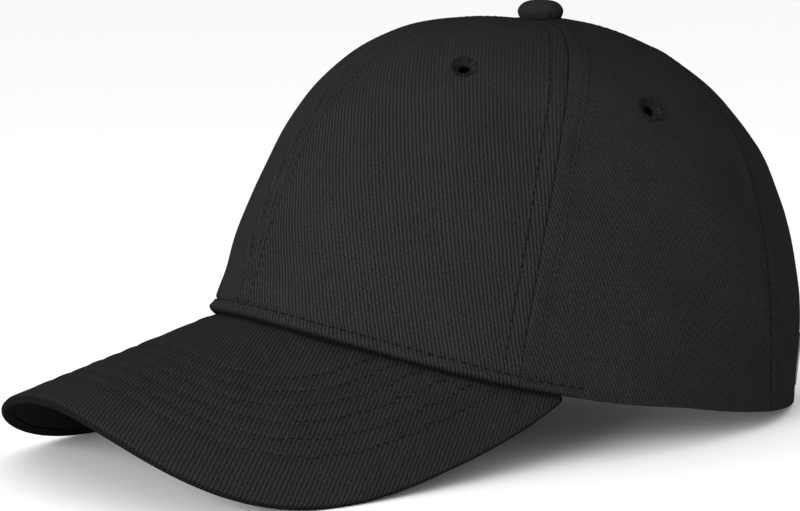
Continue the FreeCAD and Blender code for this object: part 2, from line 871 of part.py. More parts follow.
def make_eyelets(doc):
    """Six stitched eyelets: a waist through the cloth and a raised rim on each side of it."""
    top = "eyelet_rim_thickness + eyelet_gap"
    under = "- panel_thickness - eyelet_gap"
    corners = (
        ("eyelet_hole_radius", top),
        ("eyelet_rim_radius", top),
        ("eyelet_rim_radius", "eyelet_gap"),
        ("eyelet_waist_radius", "eyelet_gap"),
        ("eyelet_waist_radius", under),
        ("eyelet_rim_radius", under),
        ("eyelet_rim_radius", under + " - eyelet_rim_thickness"),
        ("eyelet_hole_radius", under + " - eyelet_rim_thickness"),
    )
    for kind, angle in (("front", "front_eyelet_angle"), ("side", "side_eyelet_angle"),
                        ("back", "rear_eyelet_angle")):
        for side_name, side in SIDES:
            body = turn_profile(doc, "eyelet_%s_%s" % (kind, side_name), corners)
            place(body, eyelet_seat(side, size[angle]))
            keep(body)


def button_seat():
    """Place of the button: on the apex, leaning back with the cloth there."""
    apex = Vector(0, size["apex_setback"], size["crown_height"] + size["button_lift"])
    return Placement(apex, Rotation(Vector(1, 0, 0), -size["button_lean"]))


def cup_corners(outer, low, high, wall, lip_radius):
    """Outline of a hollow cap with a lip turned in at its foot."""
    inner = outer + " - " + wall
    return (
        ("0", high),
        (outer, high),
        (outer, low),
        (lip_radius, low),
        (lip_radius, low + " + " + wall),
        (inner, low + " + " + wall),
        (inner, high + " - " + wall),
        ("0", high + " - " + wall),
    )


def make_button(doc):
    """Cloth-covered button: cover, metal shell inside it, and the rivet that holds it to the crown."""
    radius = size["button_radius"]
    height = size["button_height"]
    cloth = size["button_cloth"]
    round_top = size["button_round"]
    cover = turn_profile(doc, "button_cover",
                         cup_corners("button_radius", "0", "button_height", "button_cloth", "button_lip"))
    round_rims(doc, cover, ((radius, height, round_top),
                            (radius - cloth, height - cloth, round_top - cloth),
                            (radius, 0.0, size["button_round_foot"])))
    shell = turn_profile(doc, "button_shell",
                         cup_corners("button_radius - button_cloth - button_play",
                                     "button_cloth + button_play",
                                     "button_height - button_cloth - button_play",
                                     "button_sheet", "button_lip"))
    step = cloth + size["button_play"]
    sheet = size["button_sheet"]
    round_rims(doc, shell, ((radius - step, height - step, round_top - step),
                            (radius - step - sheet, height - step - sheet, round_top - step - sheet)))
    head = "button_height - button_cloth - button_play - button_sheet - button_play"
    foot = "- rivet_reach"
    rivet = turn_profile(doc, "button_rivet", (
        ("0", head),
        ("rivet_head_radius", head),
        ("rivet_head_radius", head + " - rivet_plate_thickness"),
        ("rivet_radius", head + " - rivet_plate_thickness"),
        ("rivet_radius", foot),
        ("rivet_plate_radius", foot),
        ("rivet_plate_radius", foot + " - rivet_plate_thickness"),
        ("0", foot + " - rivet_plate_thickness"),
    ))
    for body in (cover, shell, rivet):
        place(body, button_seat())
        keep(body)


# ---------- rear closure ----------

def closure_seat():
    """Strap frame: axis of the strap's arc, +Y to the rear and +Z up the strap's width."""
    tilt = math.radians(size["closure_tilt"])
    up = Vector(0, math.sin(tilt), math.cos(tilt))
    back = Vector(0, math.cos(tilt), -math.sin(tilt))
    rear = Vector(0, size["crown_back"], rim_height(180.0))
    centre = rear - back * size["closure_radius"] + up * size["strap_rise"]
    return Placement(centre, Rotation(Vector(1, 0, 0), -size["closure_tilt"]))


def buckle_seat(across=0.0, outward=0.0):
    """Buckle frame: +X along the strap to the left, +Y outward, on the strap's middle surface."""
    turned = Placement(Vector(0, 0, 0), Rotation(Vector(0, 0, 1), -size["buckle_angle"]))
    radius = size["closure_radius"] - size["strap_depth"] - size["strap_thickness"] / 2
    return closure_seat().multiply(turned).multiply(
        Placement(Vector(across, radius + outward, 0), Rotation()))


def make_strap(doc):
    """Strap on an arc about the closure axis, so that it can slide through the buckle."""
    body = make_body(doc, "closure_strap")
    sketch = make_sketch(body, "closure_strap_profile", "XZ_Plane")
    outer = "closure_radius - strap_depth"
    draw_box(sketch, (outer + " - strap_thickness", "0"), (outer, "strap_width"))
    turned = body.newObject("PartDesign::Revolution", "closure_strap_turned")
    turned.Profile = sketch
    turned.ReferenceAxis = (sketch, ["V_Axis"])
    bind(turned, "Angle", "2 * strap_half_angle")
    start = Rotation(Vector(0, 0, 1), 90.0 - size["strap_half_angle"])
    place(body, closure_seat().multiply(Placement(Vector(0, 0, 0), start)))
    keep(body)


def ring_sector(doc, name, radii, angles):
    """Part of a flat ring about the closure axis; angles run from the centre back to the left."""
    rings = []
    for label, radius in (("_outside", radii[1]), ("_inside", radii[0])):
        disc = doc.addObject("Part::Cylinder", name + label)
        bind(disc, "Radius", radius)
        bind(disc, "Height", "strap_width - 2 * tab_margin")
        bind(disc, "Angle", "%s - ( %s )" % (angles[1], angles[0]))
        start = Rotation(Vector(0, 0, 1), 90.0 - value(angles[1]))
        place(disc, closure_seat().multiply(Placement(Vector(0, 0, size["tab_margin"]), start)))
        rings.append(disc)
    return make_cut(doc, name, rings[0], rings[1])


def make_tab(doc):
    """Short loop of cloth sewn to the left back panel, folded round the buckle's bar."""
    outer = "closure_radius - tab_depth"
    inner = outer + " - tab_drop"
    ply = "tab_thickness"
    layers = (
        ("long_layer", (outer + " - " + ply, outer), ("tab_start_angle", "tab_end_angle")),
        ("short_layer", (inner + " - " + ply, inner), ("tab_start_angle", "tab_sewn_angle")),
        ("fold", (inner + " - " + ply, outer), ("tab_start_angle", "tab_start_angle + tab_ply_angle")),
        ("sewn_end", (inner + " - " + ply, outer), ("tab_sewn_angle - tab_ply_angle", "tab_sewn_angle")),
    )
    pieces = [ring_sector(doc, "buckle_tab_" + name, radii, angles) for name, radii, angles in layers]
    tab = doc.addObject("Part::MultiFuse", "buckle_tab")
    tab.Label = "buckle_tab"
    tab.Shapes = pieces
    tab.Refine = True
    keep(tab)


def make_buckle_frame(doc):
    """Buckle plate with a slot for the tab and two ears that hold the pin."""
    body = make_body(doc, "buckle_frame")
    end = "buckle_half_length"
    foot = "- buckle_margin"
    top = "strap_width + buckle_margin"
    plate = make_sketch(body, "buckle_frame_plate", "XZ_Plane")
    draw_box(plate, ("- " + end, foot), (end, top))
    slot_end = end + " - buckle_bar"
    draw_box(plate, (slot_end + " - buckle_slot", "slot_margin"), (slot_end, "strap_width - slot_margin"))
    pad(body, plate, "buckle_plate_thickness")
    near = "- pin_offset - ear_half_length"
    far = "ear_half_length - pin_offset"
    for name, low, high in (("low_ear", foot, foot + " + ear_thickness"),
                            ("high_ear", top + " - ear_thickness", top)):
        ear = make_sketch(body, "buckle_frame_" + name, "XZ_Plane")
        draw_box(ear, (near, low), (far, high))
        pad(body, ear, "ear_height", True)
    drill(doc, body, ("- pin_offset", "buckle_plate_depth + pin_height"), "pin_radius + pin_fit")
    place(body, buckle_seat(0.0, -size["buckle_plate_depth"]))
    keep(body)


def make_buckle_lever(doc):
    """Locking lever: a knuckle on the pin, a flat cover over the strap and a lifted finger edge."""
    body = make_body(doc, "buckle_lever")
    leaf = make_sketch(body, "buckle_lever_leaf", "XY_Plane")
    top = "lever_foot + lever_thickness"
    lip = "lever_length - lever_lip"
    draw_outline(leaf, (
        ("0", "lever_foot"),
        (lip, "lever_foot"),
        ("lever_length", "lever_foot + lever_lip"),
        ("lever_length - lever_thickness", top + " + lever_lip"),
        (lip + " - lever_foot", top),
        ("0", top),
    ))
    width = "strap_width + 2 * lever_overlap"
    pad(body, leaf, width)
    knuckle = make_sketch(body, "buckle_lever_knuckle", "XY_Plane")
    draw_circle(knuckle, ("0", "0"), "knuckle_radius")
    pad(body, knuckle, width)
    drill(doc, body, ("0", "0"), "pin_radius + pin_play")
    low_end = Placement(Vector(0, 0, -size["lever_overlap"]), Rotation())
    place(body, buckle_seat(-size["pin_offset"], size["pin_height"]).multiply(low_end))
    keep(body)


def make_buckle_pin(doc):
    pin = doc.addObject("Part::Cylinder", "buckle_pin")
    pin.Label = "buckle_pin"
    bind(pin, "Radius", "pin_radius")
    bind(pin, "Height", "strap_width + 2 * buckle_margin")
    low_end = Placement(Vector(0, 0, -size["buckle_margin"]), Rotation())
    place(pin, buckle_seat(-size["pin_offset"], size["pin_height"]).multiply(low_end))
    keep(pin)


# ---------- whole cap ----------

def check(doc):
    """Stops if any object failed or any sub-part's shape is missing or not valid."""
    faults = [thing.Name for thing in doc.Objects if "Invalid" in thing.State or "Error" in thing.State]
    faults += [part.Label for part in kept if part.Shape.isNull() or not part.Shape.isValid()]
    if faults:
        raise ValueError("these did not come out: " + ", ".join(faults))


def whole_box():
    """Box round all sub-parts in the resting attitude."""
    box = FreeCAD.BoundBox()
    for part in kept:
        box.add(part.Shape.optimalBoundingBox())
    return box


def export():
    os.makedirs("parts", exist_ok=True)
    for part in kept:
        part.Shape.exportStep(os.path.join("parts", part.Label + ".step"))


def main():
    doc = FreeCAD.newDocument("BaseballCap")
    make_sheet(doc)
    for make in (make_panels, make_buckram, make_seam_tapes, make_sweatband, make_label, make_binding,
                 make_visor, make_eyelets, make_button, make_strap, make_tab, make_buckle_frame,
                 make_buckle_lever, make_buckle_pin):
        make(doc)
    doc.recompute()
    check(doc)
    export()
    box = whole_box()
    print("sub-parts %d" % len(kept))
    print("box %.2f by %.2f by %.2f" % (box.XLength, box.YLength, box.ZLength))
    print("from %.2f %.2f %.2f" % (box.XMin, box.YMin, box.ZMin))


main()
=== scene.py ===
"""Baseball cap in black cotton twill: the looks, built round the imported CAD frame.

Shapes are worked out in the crown's own frame in millimetres: +Z up the crown, the visor towards -Y,
the wearer's left at +X, angles in degrees from the front towards the wearer's left. to_row() carries
them to the row's frame in metres, where the cap stands on its visor and rear rim.
"""
import math
import bmesh
import bpy
import numpy as np
from mathutils import Matrix, Vector
from mathutils.bvhtree import BVHTree


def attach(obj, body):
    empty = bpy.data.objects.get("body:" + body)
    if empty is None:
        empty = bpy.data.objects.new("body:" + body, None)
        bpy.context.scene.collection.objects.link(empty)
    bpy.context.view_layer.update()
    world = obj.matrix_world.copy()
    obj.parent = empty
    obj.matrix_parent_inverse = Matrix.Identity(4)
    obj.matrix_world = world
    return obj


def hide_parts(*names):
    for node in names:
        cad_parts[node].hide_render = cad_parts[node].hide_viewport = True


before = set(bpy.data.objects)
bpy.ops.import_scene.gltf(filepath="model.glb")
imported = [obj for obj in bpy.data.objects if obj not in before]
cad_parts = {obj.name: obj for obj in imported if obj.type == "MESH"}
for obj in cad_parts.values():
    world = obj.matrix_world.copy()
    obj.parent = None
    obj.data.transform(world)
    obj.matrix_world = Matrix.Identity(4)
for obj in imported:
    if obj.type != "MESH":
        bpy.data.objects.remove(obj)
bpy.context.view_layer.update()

MM = 0.001
SIDES = (("left", 1.0), ("right", -1.0))

# ---------- driving dimensions, millimetres and degrees ----------

# Crown: reach of the rim to front, back and side, and the apex's height above the visor's corners.
CROWN_FRONT, CROWN_BACK, CROWN_HALF_WIDTH, CROWN_HEIGHT = 116.5, 91.9, 83.7, 110.5
APEX_SETBACK, RIM_POWER = 19.8, 2.04
REAR_DROP, REAR_DROP_POWER = 41.0, 1.9   # the rim falls away behind the visor's corners
# Curve from rim to apex, each as a mean and two cosine terms: the wall's lean, the pulls of its two ends.
LEAN, WALL_PULL, TOP_PULL = (1.16, 20.64, 1.11), (124.9, 50.0, 5.7), (25.1, -2.1, -7.8)
TOP_PULL_FALL, TOP_SHARE = 0.06, 0.955
# Seams: angle at the rim, angle at the apex, bow between them.
FRONT_SEAM, REAR_SEAM = (59.1, 79.5, 33.6), (117.6, 128.0, 104.3)
# Layers of the crown: depth below its outer surface, thickness, extent.
PANEL_THICKNESS = 1.2
BUCKRAM_DEPTH, BUCKRAM_THICKNESS = 1.4, 0.6
BUCKRAM_INSET, BUCKRAM_FOOT, BUCKRAM_TOP, BUCKRAM_HOLE_RADIUS = 1.5, 0.02, 0.78, 4.5
TAPE_DEPTH, TAPE_THICKNESS, TAPE_HALF_WIDTH = 2.1, 0.5, 6.4
TAPE_FOOT_SHARE, TAPE_TOP_SHARE = 0.03, 0.81
BINDING_DEPTH, BINDING_THICKNESS, BINDING_WIDTH = 1.25, 0.5, 9.0
SWEAT_DEPTH_FRONT, SWEAT_DEPTH_REAR, SWEAT_HEIGHT = 3.1, 6.0, 32.0
SWEAT_DEEPENS = (100.0, 126.0)   # angles between which it goes from one depth to the other
PADDING_THICKNESS, SWEAT_THICKNESS = 0.8, 0.7
SWEAT_FOOT, SWEAT_GAP, SWEAT_END, SWEAT_PLUMP = 0.4, 0.25, 1.5, 0.9
PADDING_INSET, PADDING_END = 3.0, 1.0   # how far the padding stops inside the sweatband's edges and ends
FACING_END, FACING_ROW_END = 9.0, 11.0  # degrees of turn round the opening at which it and its rows end
# Visor: its flat pattern, the cylinder that it is bent on, its seam under the rim, its layers and rows.
VISOR_REACH, VISOR_HALF_WIDTH, VISOR_WIDTH_LINE, VISOR_REAR_LENGTH = 76.5, 98.3, 25.4, 119.7
VISOR_POWER, VISOR_RADIUS, VISOR_SLOPE = 2.45, 91.6, 6.56
CORNER, VISOR_SEAM_INSET, VISOR_GAP = 67.6, 4.0, 0.3   # the corner is where its seam ends, in degrees
VISOR_THICKNESS, VISOR_COVER, VISOR_LIP, VISOR_BOARD_INSET = 3.2, 0.6, 2.2, 2.6
FIRST_ROW, ROW_SPACING, ROW_COUNT = 16.2, 6.23, 6
ROW_CLEARANCE, ROW_TOLERANCE = 0.8, 0.12   # from the crown, and of a row's distance from the edge
WRAP_STEPS, LIP_LINES = 18, (0.5, 1.0, 1.5, 1.9, 2.1)   # grid lines round the edge, and along the lip
UNDER_LAP, UNDER_RAISE, UNDER_RELIEF = 0.3, 0.25, 0.45   # the under cover at the lip and rows
EYELET_SHARE, EYELET_CUT_RADIUS = 0.4, 2.4
DISH_DEPTH, DISH_FLOOR, DISH_RIM, DISH_REACH = 1.1, 2.2, 4.9, 8.0   # cloth drawn down round an eyelet
EYELET_ANGLES = {"front": 44.6, "side": 96.2, "back": 153.0}
BUTTON_LEAN, BUTTON_LIFT, BUTTON_CREST, BUTTON_BASE = 8.0, 0.1, 6.2, -0.6
# Rear opening, strap and tab; angles of the strap are from the centre back to the wearer's left.
ARCH_HALF_WIDTH, ARCH_HEIGHT = 47.0, 58.0
CLOSURE_RADIUS, CLOSURE_TILT, STRAP_RISE = 78.8, 15.5, 5.6
STRAP_WIDTH, STRAP_DEPTH, STRAP_THICKNESS, STRAP_HALF_ANGLE = 18.0, 2.1, 1.2, 47.0
TAB_DEPTH, TAB_THICKNESS, TAB_DROP, TAB_MARGIN = 3.7, 0.6, 2.5, 1.0
TAB_START, TAB_SEWN, TAB_END = 29.4, 35.6, 47.0
# Turn and shift that stand the crown's frame in the row's frame.
REST_PITCH, STAND_BACK, STAND_UP = 6.46, 47.42, 27.95

# Stitches.
SEAM_STITCH = 5.3        # twin-needle rows stand this far from a seam
REAR_SEAM_STITCH = 0.9   # row on the side panel, close along the rear seam
SEAM_ROUND, HEM_ROUND = 0.22, 0.75   # radii of the cloth's edges
ALLOWANCE = 6.4          # width of the seam allowance that raises the cloth
TOPSTITCH = 4.9          # row above the visor
TOPSTITCH_DROP, TOPSTITCH_DROP_START = 1.0, 48.0   # its ends are lower; it falls from this angle
TOPSTITCH_PAST_CORNER = 3.5   # degrees by which the row runs on past the visor's corner
STITCH_PITCH, STITCH_LENGTH, THREAD_RADIUS = 3.0, 2.2, 0.25
TOPSTITCH_PITCH, TOPSTITCH_RADIUS, FRONT_THREAD_RADIUS, WORN_THREAD_RADIUS = 3.7, 0.34, 0.23, 0.2
STITCH_REACH, INSIDE_REACH = 1.6, 5.0   # stitches are dropped on the cloth from this far outside or inside
STRAP_REACH = 2.0        # and on the strap and tab from this far off their middles
SEAM_FOOT, SEAM_TOP = 0.012, 0.86   # shares between which the rows beside a seam run
ARCH_ROWS = (2.0, 7.4)   # the rows round the rear opening, from its edge
ARCH_ROW_END = 3.0       # degrees by which they stop short of the rim
STRAP_ROW = 2.2          # the rows along the strap, from its edges
STRAP_ENDS = (-45.2, 45.2)   # degrees at which the rows across the strap stand
TAB_ROWS = (33.6, 35.0)  # degrees at which the rows across the buckle's tab stand
SWEAT_LOW_ROW, SWEAT_HIGH_ROW = 5.5, 4.0   # rows of the sweatband, from its lower and upper edges

# Relief of the cloth: heights and depths in millimetres, then where they lie and how wide they are.
SEAM_RAISE, SEAM_RIDGE, SEAM_RIDGE_AT, SEAM_RIDGE_WIDTH = 0.26, 0.10, 2.4, 1.5
GROOVE_WIDTH, DRAW_WIDTH = 0.5, 0.45
ROLL, ROLL_AT, ROLL_WIDTH = 1.1, 2.0, 1.4   # rolled band over the visor
ROLL_DRAW, ROLL_DRAW_WIDTH = 0.7, 0.55      # drawn down along its topstitch
ROLL_FILL, ROLL_FILL_END = 1.3, (4.0, 18.0)
ROLL_TUCK, ROLL_TUCK_WIDTH = 0.6, 0.8
HEM_RAISE, HEM_RAISE_END = 0.35, (3.0, 14.0)
ARCH_RAISE, ARCH_DRAW, ARCH_DRAW_WIDTH = 0.3, 0.22, 0.6
PUCKER_AT, PUCKER_WIDTH = 6.5, 3.5          # puckers beside the crown's seams
SHORT_PUCKER_AT, SHORT_PUCKER_WIDTH = 5.0, 3.0   # puckers of the visor's cover beside the crown
ROW_RIDGE, ROW_DRAW, ROW_DRAW_WIDTH = 0.14, 0.5, 0.6   # the visor's cloth between and along its rows
CROWN_TRENCH, CROWN_TRENCH_WIDTH = 0.3, 2.6   # the visor's cloth drawn down where it goes under the crown
# Unevenness of the cloth as (amplitude, wave length, seed).
CLOTH_WAVES = ((0.45, 46.0, 11), (0.15, 17.0, 12))
PUCKER_WAVES = (0.10, 5.5, 13)
VISOR_WAVES = ((0.14, 38.0, 41), (0.05, 12.0, 42))
VISOR_PUCKER_WAVES = (0.22, 8.0, 43)
RIBBON_WAVES = (0.10, 9.0)   # of the strips inside the crown; each has its own seed
SWEAT_WAVES, FINE_SWEAT_WAVES = (0.22, 21.0), (0.08, 8.0)
TAPE_DRAW, TAPE_DRAW_WIDTH, TAPE_CROWN, TAPE_CROWN_WIDTH = 0.16, 0.5, 0.25, 2.5
FACING_DRAW, FACING_DRAW_WIDTH = 0.12, 0.5
STRAP_DRAW, STRAP_DRAW_WIDTH = 0.28, 0.7
STIFFENED = 0.6          # share of the waves that stays where stiffener backs the cloth
BOARD_FACES = (1.45, 2.3)   # depths of the board's faces under the visor's top
LABEL_FOOT, LABEL_TOP, LABEL_FIRST, LABEL_LAST = 26.0, 47.6, 102.0, 112.0   # heights and angles
LABEL_DEPTH, LABEL_CURL, LABEL_THICKNESS = 2.0, 0.9, 0.35

# Pattern of the cloth.
RIB_PITCH, VISOR_RIB_PITCH, FLOAT_PITCH = 1.29, 1.36, 0.95   # twill ribs, and yarn floats along them
# Angles of the ribs on each part, then how strongly their colour stands out there: the twill's own pattern
# with painted shade added, strongest on the front panels, where the key light falls.
RIB_ANGLES = {"front": 105.0, "side": 102.0, "back": 106.0, "visor": 125.5}
RIB_BEND, RIB_BEND_START = 0.0048, 40.0   # the ribs turn away as the cloth closes over the top
STRAP_RIB_ANGLE = 60.0
VISOR_RIB_FAN = 0.0018    # turn of the visor's ribs per millimetre across them
RIB_SHOW = {"front": 0.68, "side": 0.52, "back": 0.52, "visor": 0.56, "button": 0.12}
# Painted shade of each panel: the side and back panels, turned away from the key light, are darker.
PANEL_PAINTED_SHADE = {"front": 1.0, "side": 0.95, "back": 0.95}
APEX_SHADE, APEX_SHADE_SHARES = 0.12, (0.3, 0.7)   # painted shade: the crown's cloth is darker higher up
FOOT_SHADE, FOOT_SHADE_END = 0.7, (0.25, 1.1)      # and painted shadow under the rolled foot over the visor
EDGE_SHADE, EDGE_SHADE_TURNS, LIP_PAINTED_SHADE = 0.65, (20.0, 62.0), 0.4   # painted shade where the cover turns under the visor's edge, over these degrees round it, and on the lip under it
SEAM_SHADE, SEAM_SHADE_WIDTH = 0.75, 1.0           # painted shadow on the visor's cloth where it goes under the crown
PANEL_MIDDLE = {"front": 29.5, "side": 88.0, "back": 150.0}   # angle from which the flat cloth is measured
PANEL_COLUMNS, PANEL_ROWS = {"front": 26, "side": 26, "back": 24}, 66

# Distances from an edge or seam at which a cloth grid has a line.
NEAR = np.array([0, .07, .22, .45, .75, 1.2, 1.8, 2.5, 3.3, 4.0, 4.5, 4.9, 5.3, 5.7, 6.1, 6.7, 7.4, 8.4])
# Places of a seam tape's lengthwise grid lines, as shares of its half width.
TAPE_LINES = np.array([-1, -.985, -.94, -.86, -.8, -.7, -.4, 0, .4, .7, .8, .86, .94, .985, 1])
# Distances of the rear facing's grid lines from the opening's edge.
FACING_LINES = np.array([0.2, .24, .35, .6, 1.2, 2.0, 2.8, 4.2, 5.6, 6.6, 7.4, 8.1, 8.6, 8.85, 8.96, 9.0])
# Sections as (radius, height): the embroidery through an eyelet's hole, the button from its crest down.
EYELET_PROFILE = np.array([(1.8, -1.8), (1.85, -1.35), (2.2, -0.95), (2.8, -0.58), (3.5, -0.16),
                           (4.05, 0.14), (4.4, 0.02), (4.35, -0.25), (4.0, -0.4), (3.2, -0.9),
                           (2.6, -1.25), (2.4, -1.7), (2.55, -2.15), (3.0, -2.1), (3.6, -1.8),
                           (3.75, -2.0), (3.3, -2.4), (2.6, -2.6), (2.0, -2.35)])
EYELET_THREADS, THREAD_SAMPLES = 34, 6   # threads round an eyelet, grid lines for each
THREAD_JITTER, THREAD_RIDGE, THREAD_LIFT = (-0.45, 0.3), 0.05, 0.26   # how their ends and crests vary
THREAD_OUTER, EYELET_WAIST = (2.6, 4.2), 1.7   # radii over which they spread out, depth of the waist
BUTTON_PROFILE = np.array([(0.0, BUTTON_CREST), (1.6, 6.16), (3.2, 5.98), (4.8, 5.58), (6.1, 4.95),
                           (7.05, 4.12), (7.65, 3.2), (7.93, 2.3), (7.82, 1.6), (7.55, 0.8),
                           (7.25, 0.2), (6.9, -0.3), (6.3, -0.7), (5.0, -0.8)])


# ---------- crown geometry ----------

def radians(angle):
    """Radians from degrees, always as an array."""
    return np.radians(np.asarray(angle, float))


def smooth(number, low, high):
    """Eases from 0 at low to 1 at high."""
    share = np.clip((number - low) / (high - low), 0.0, 1.0)
    return share * share * (3 - 2 * share)


def dip(distance, centre, width):
    """Bell of height 1 round a centre."""
    return np.exp(-((distance - centre) / width) ** 2)


def to_row(points):
    """Crown frame in millimetres to the row's frame in metres."""
    points = np.asarray(points, float)
    sine, cosine = math.sin(math.radians(REST_PITCH)), math.cos(math.radians(REST_PITCH))
    x, y, z = points[..., 0], points[..., 1], points[..., 2]
    back = cosine * y - sine * z + STAND_BACK
    up = sine * y + cosine * z + STAND_UP
    return np.stack([x, back, up], -1) * MM


def superellipse(turn, power):
    """Sine and cosine of a turn, drawn out to a rounder or squarer unit outline."""
    sine, cosine = np.sin(turn), np.cos(turn)
    scale = (np.abs(sine) ** power + np.abs(cosine) ** power) ** (-1 / power)
    return sine * scale, cosine * scale


def rim_plan(angle):
    """Rim seen from above."""
    sine, cosine = superellipse(radians(angle), RIM_POWER)
    return CROWN_HALF_WIDTH * sine, -np.where(cosine > 0, CROWN_FRONT, CROWN_BACK) * cosine


def visor_place(across, forward, depth=0.0):
    """Point under the visor's top surface, from its flat pattern, with the seam centre as zero."""
    bend = np.asarray(across, float) / VISOR_RADIUS
    radius = VISOR_RADIUS - depth
    slope = math.radians(VISOR_SLOPE)
    fall = VISOR_RADIUS - radius * np.cos(bend)
    y = -CROWN_FRONT - forward * math.cos(slope) - fall * math.sin(slope)
    z = -forward * math.sin(slope) - fall * math.cos(slope)
    return np.stack([radius * np.sin(bend), y, z], -1)


def visor_seam(angle, inset=0.0):
    """Flat pattern point of the visor under the rim, moved in from the rim by an inset."""
    x, y = rim_plan(angle)
    ahead, behind = rim_plan(angle + 0.5), rim_plan(angle - 0.5)
    run_x, run_y = ahead[0] - behind[0], ahead[1] - behind[1]
    length = np.hypot(run_x, run_y)
    x = x - inset * run_y / length
    y = y + inset * run_x / length
    slope = math.radians(VISOR_SLOPE)
    bend = np.arcsin(np.clip(x / VISOR_RADIUS, -1, 1))
    fall = VISOR_RADIUS * (1 - np.cos(bend))
    forward = (-CROWN_FRONT - y - fall * math.sin(slope)) / math.cos(slope)
    return VISOR_RADIUS * bend, forward


CORNER_SEAM = visor_seam(np.array(CORNER))
VISOR_LIFT = np.array([0.0, 0.0, -float(visor_place(*CORNER_SEAM)[2])])


def around(angle):
    """Angle from the front, 0 to 180, on either side."""
    turn = np.abs(np.asarray(angle, float)) % 360
    return np.minimum(turn, 360 - turn)


def rim_height(angle):
    """Height of the rim: on the visor at the front, then falling away to the back."""
    turn = around(angle)
    front = visor_place(*visor_seam(np.minimum(turn, CORNER)))[..., 2] + VISOR_LIFT[2]
    share = np.clip((turn - CORNER) / (180.0 - CORNER), 0, 1)
    return np.where(turn < CORNER, front, -REAR_DROP * (1 - (1 - share) ** REAR_DROP_POWER))


def foot_gap(angle):
    """Gap between the crown's rolled foot and the visor's top."""
    return VISOR_GAP * (1 - smooth(around(angle), CORNER - 2.0, CORNER + 8.0))


def swing(terms, angle):
    """Number that changes round the crown: a mean and two cosine terms."""
    mean, first, second = terms
    turn = radians(angle)
    return mean + first * np.cos(turn) + second * np.cos(2 * turn)


def crown_point(angle, share):
    """Point on the crown's outer surface, a cubic curve from the rim (share 0) to the apex (1)."""
    angle, share = np.broadcast_arrays(np.asarray(angle, float), np.asarray(share, float))
    x, y = rim_plan(angle)
    foot = np.stack([x, y, rim_height(angle) + foot_gap(angle)], -1)
    apex = np.array([0, APEX_SETBACK, CROWN_HEIGHT])
    outward = np.stack([x, y - APEX_SETBACK, 0 * x], -1)
    outward /= np.linalg.norm(outward, axis=-1, keepdims=True)
    lean = radians(swing(LEAN, angle))[..., None]
    wall_pull = (swing(WALL_PULL, angle) * (CROWN_HEIGHT - foot[..., 2]) / CROWN_HEIGHT)[..., None]
    top_pull = swing(TOP_PULL, angle)[..., None]
    up = np.array([0, 0, 1.0])
    low = foot + (up * np.cos(lean) - outward * np.sin(lean)) * wall_pull
    high = apex + (outward - up * TOP_PULL_FALL) * top_pull
    part = share[..., None]
    rest = 1 - part
    return foot * rest ** 3 + low * 3 * rest ** 2 * part + high * 3 * rest * part ** 2 + apex * part ** 3


def unit(vectors):
    """Vectors brought to length 1."""
    return vectors / np.maximum(np.linalg.norm(vectors, axis=-1, keepdims=True), 1e-12)


def crown_normal(angle, share):
    """Outward unit normal of the crown's outer surface."""
    share = np.clip(share, 0.006, 0.985)
    round_step = crown_point(angle + 0.5, share) - crown_point(angle - 0.5, share)
    up_step = crown_point(angle, share + 0.005) - crown_point(angle, share - 0.005)
    return unit(np.cross(round_step, up_step))


def crown_layer(angle, share, depth):
    """Point at a depth below the crown's outer surface."""
    depth = np.asarray(depth, float) + 0.0 * np.asarray(angle, float)
    return crown_point(angle, share) - crown_normal(angle, share) * depth[..., None]


def halve(is_low, low, high, steps=26):
    """Bisection on arrays: is_low(middle) says where the answer lies above the middle."""
    for _ in range(steps):
        middle = (low + high) / 2
        below = is_low(middle)
        low, high = np.where(below, middle, low), np.where(below, high, middle)
    return low


def share_at_height(angle, height):
    """Share of the way to the apex at a height above the rim."""
    angle, height = np.broadcast_arrays(np.asarray(angle, float), np.asarray(height, float))
    target = rim_height(angle) + height
    return halve(lambda middle: crown_point(angle, middle)[..., 2] < target, 0.0 * angle, 0.0 * angle + 0.6)


def front_seam(share):
    """Angle of the seam between front and side panels, from rim to apex."""
    rim, apex, bow = FRONT_SEAM
    return rim + (apex - rim) * share + bow * share * (1 - share)


def rear_seam(share):
    """Angle of the seam between side and back panels, from rim to apex."""
    rim, apex, bow = REAR_SEAM
    return rim + (apex - rim) * share + bow * share ** 3 * (1 - share)


def centre_front(share):
    """Angle of the seam between the two front panels."""
    return 0.0 * share


def centre_back(share):
    """Angle of the seam between the two back panels."""
    return 0.0 * share + 180.0


def turn_for(length, angle, share):
    """Angle that spans a length round the crown at a place on it."""
    point = crown_point(angle, share)
    radius = np.hypot(point[..., 0], point[..., 1] - APEX_SETBACK)
    return np.degrees(length / np.maximum(radius, 2.0))


def find_on_back(x, z):
    """Angle and share of the crown's back at a given x and height, by Newton steps."""
    angle = 180.0 - np.degrees(np.arcsin(np.clip(x / CROWN_HALF_WIDTH, -1, 1)))
    share = 0.0 * angle + 0.3
    for _ in range(14):
        here = crown_point(angle, share)
        by_angle = (crown_point(angle + 0.1, share) - here) * 10
        by_share = (crown_point(angle, share + 0.001) - here) * 1000
        spread = by_angle[..., 0] * by_share[..., 2] - by_angle[..., 2] * by_share[..., 0]
        gap_x, gap_z = x - here[..., 0], z - here[..., 2]
        angle = angle + (gap_x * by_share[..., 2] - gap_z * by_share[..., 0]) / spread
        share = share + (by_angle[..., 0] * gap_z - by_angle[..., 2] * gap_x) / spread
        share = np.clip(share, 0.0, 0.8)
    return angle, share


def arch_place(turn, out):
    """Angle and share on the crown at a turn round the rear opening, a distance outside its edge."""
    foot = float(rim_height(180.0))
    x = (ARCH_HALF_WIDTH + out) * np.cos(radians(turn))
    z = foot + (ARCH_HEIGHT + out) * np.sin(radians(turn))
    return find_on_back(x, np.maximum(z, foot + 0.0 * x))


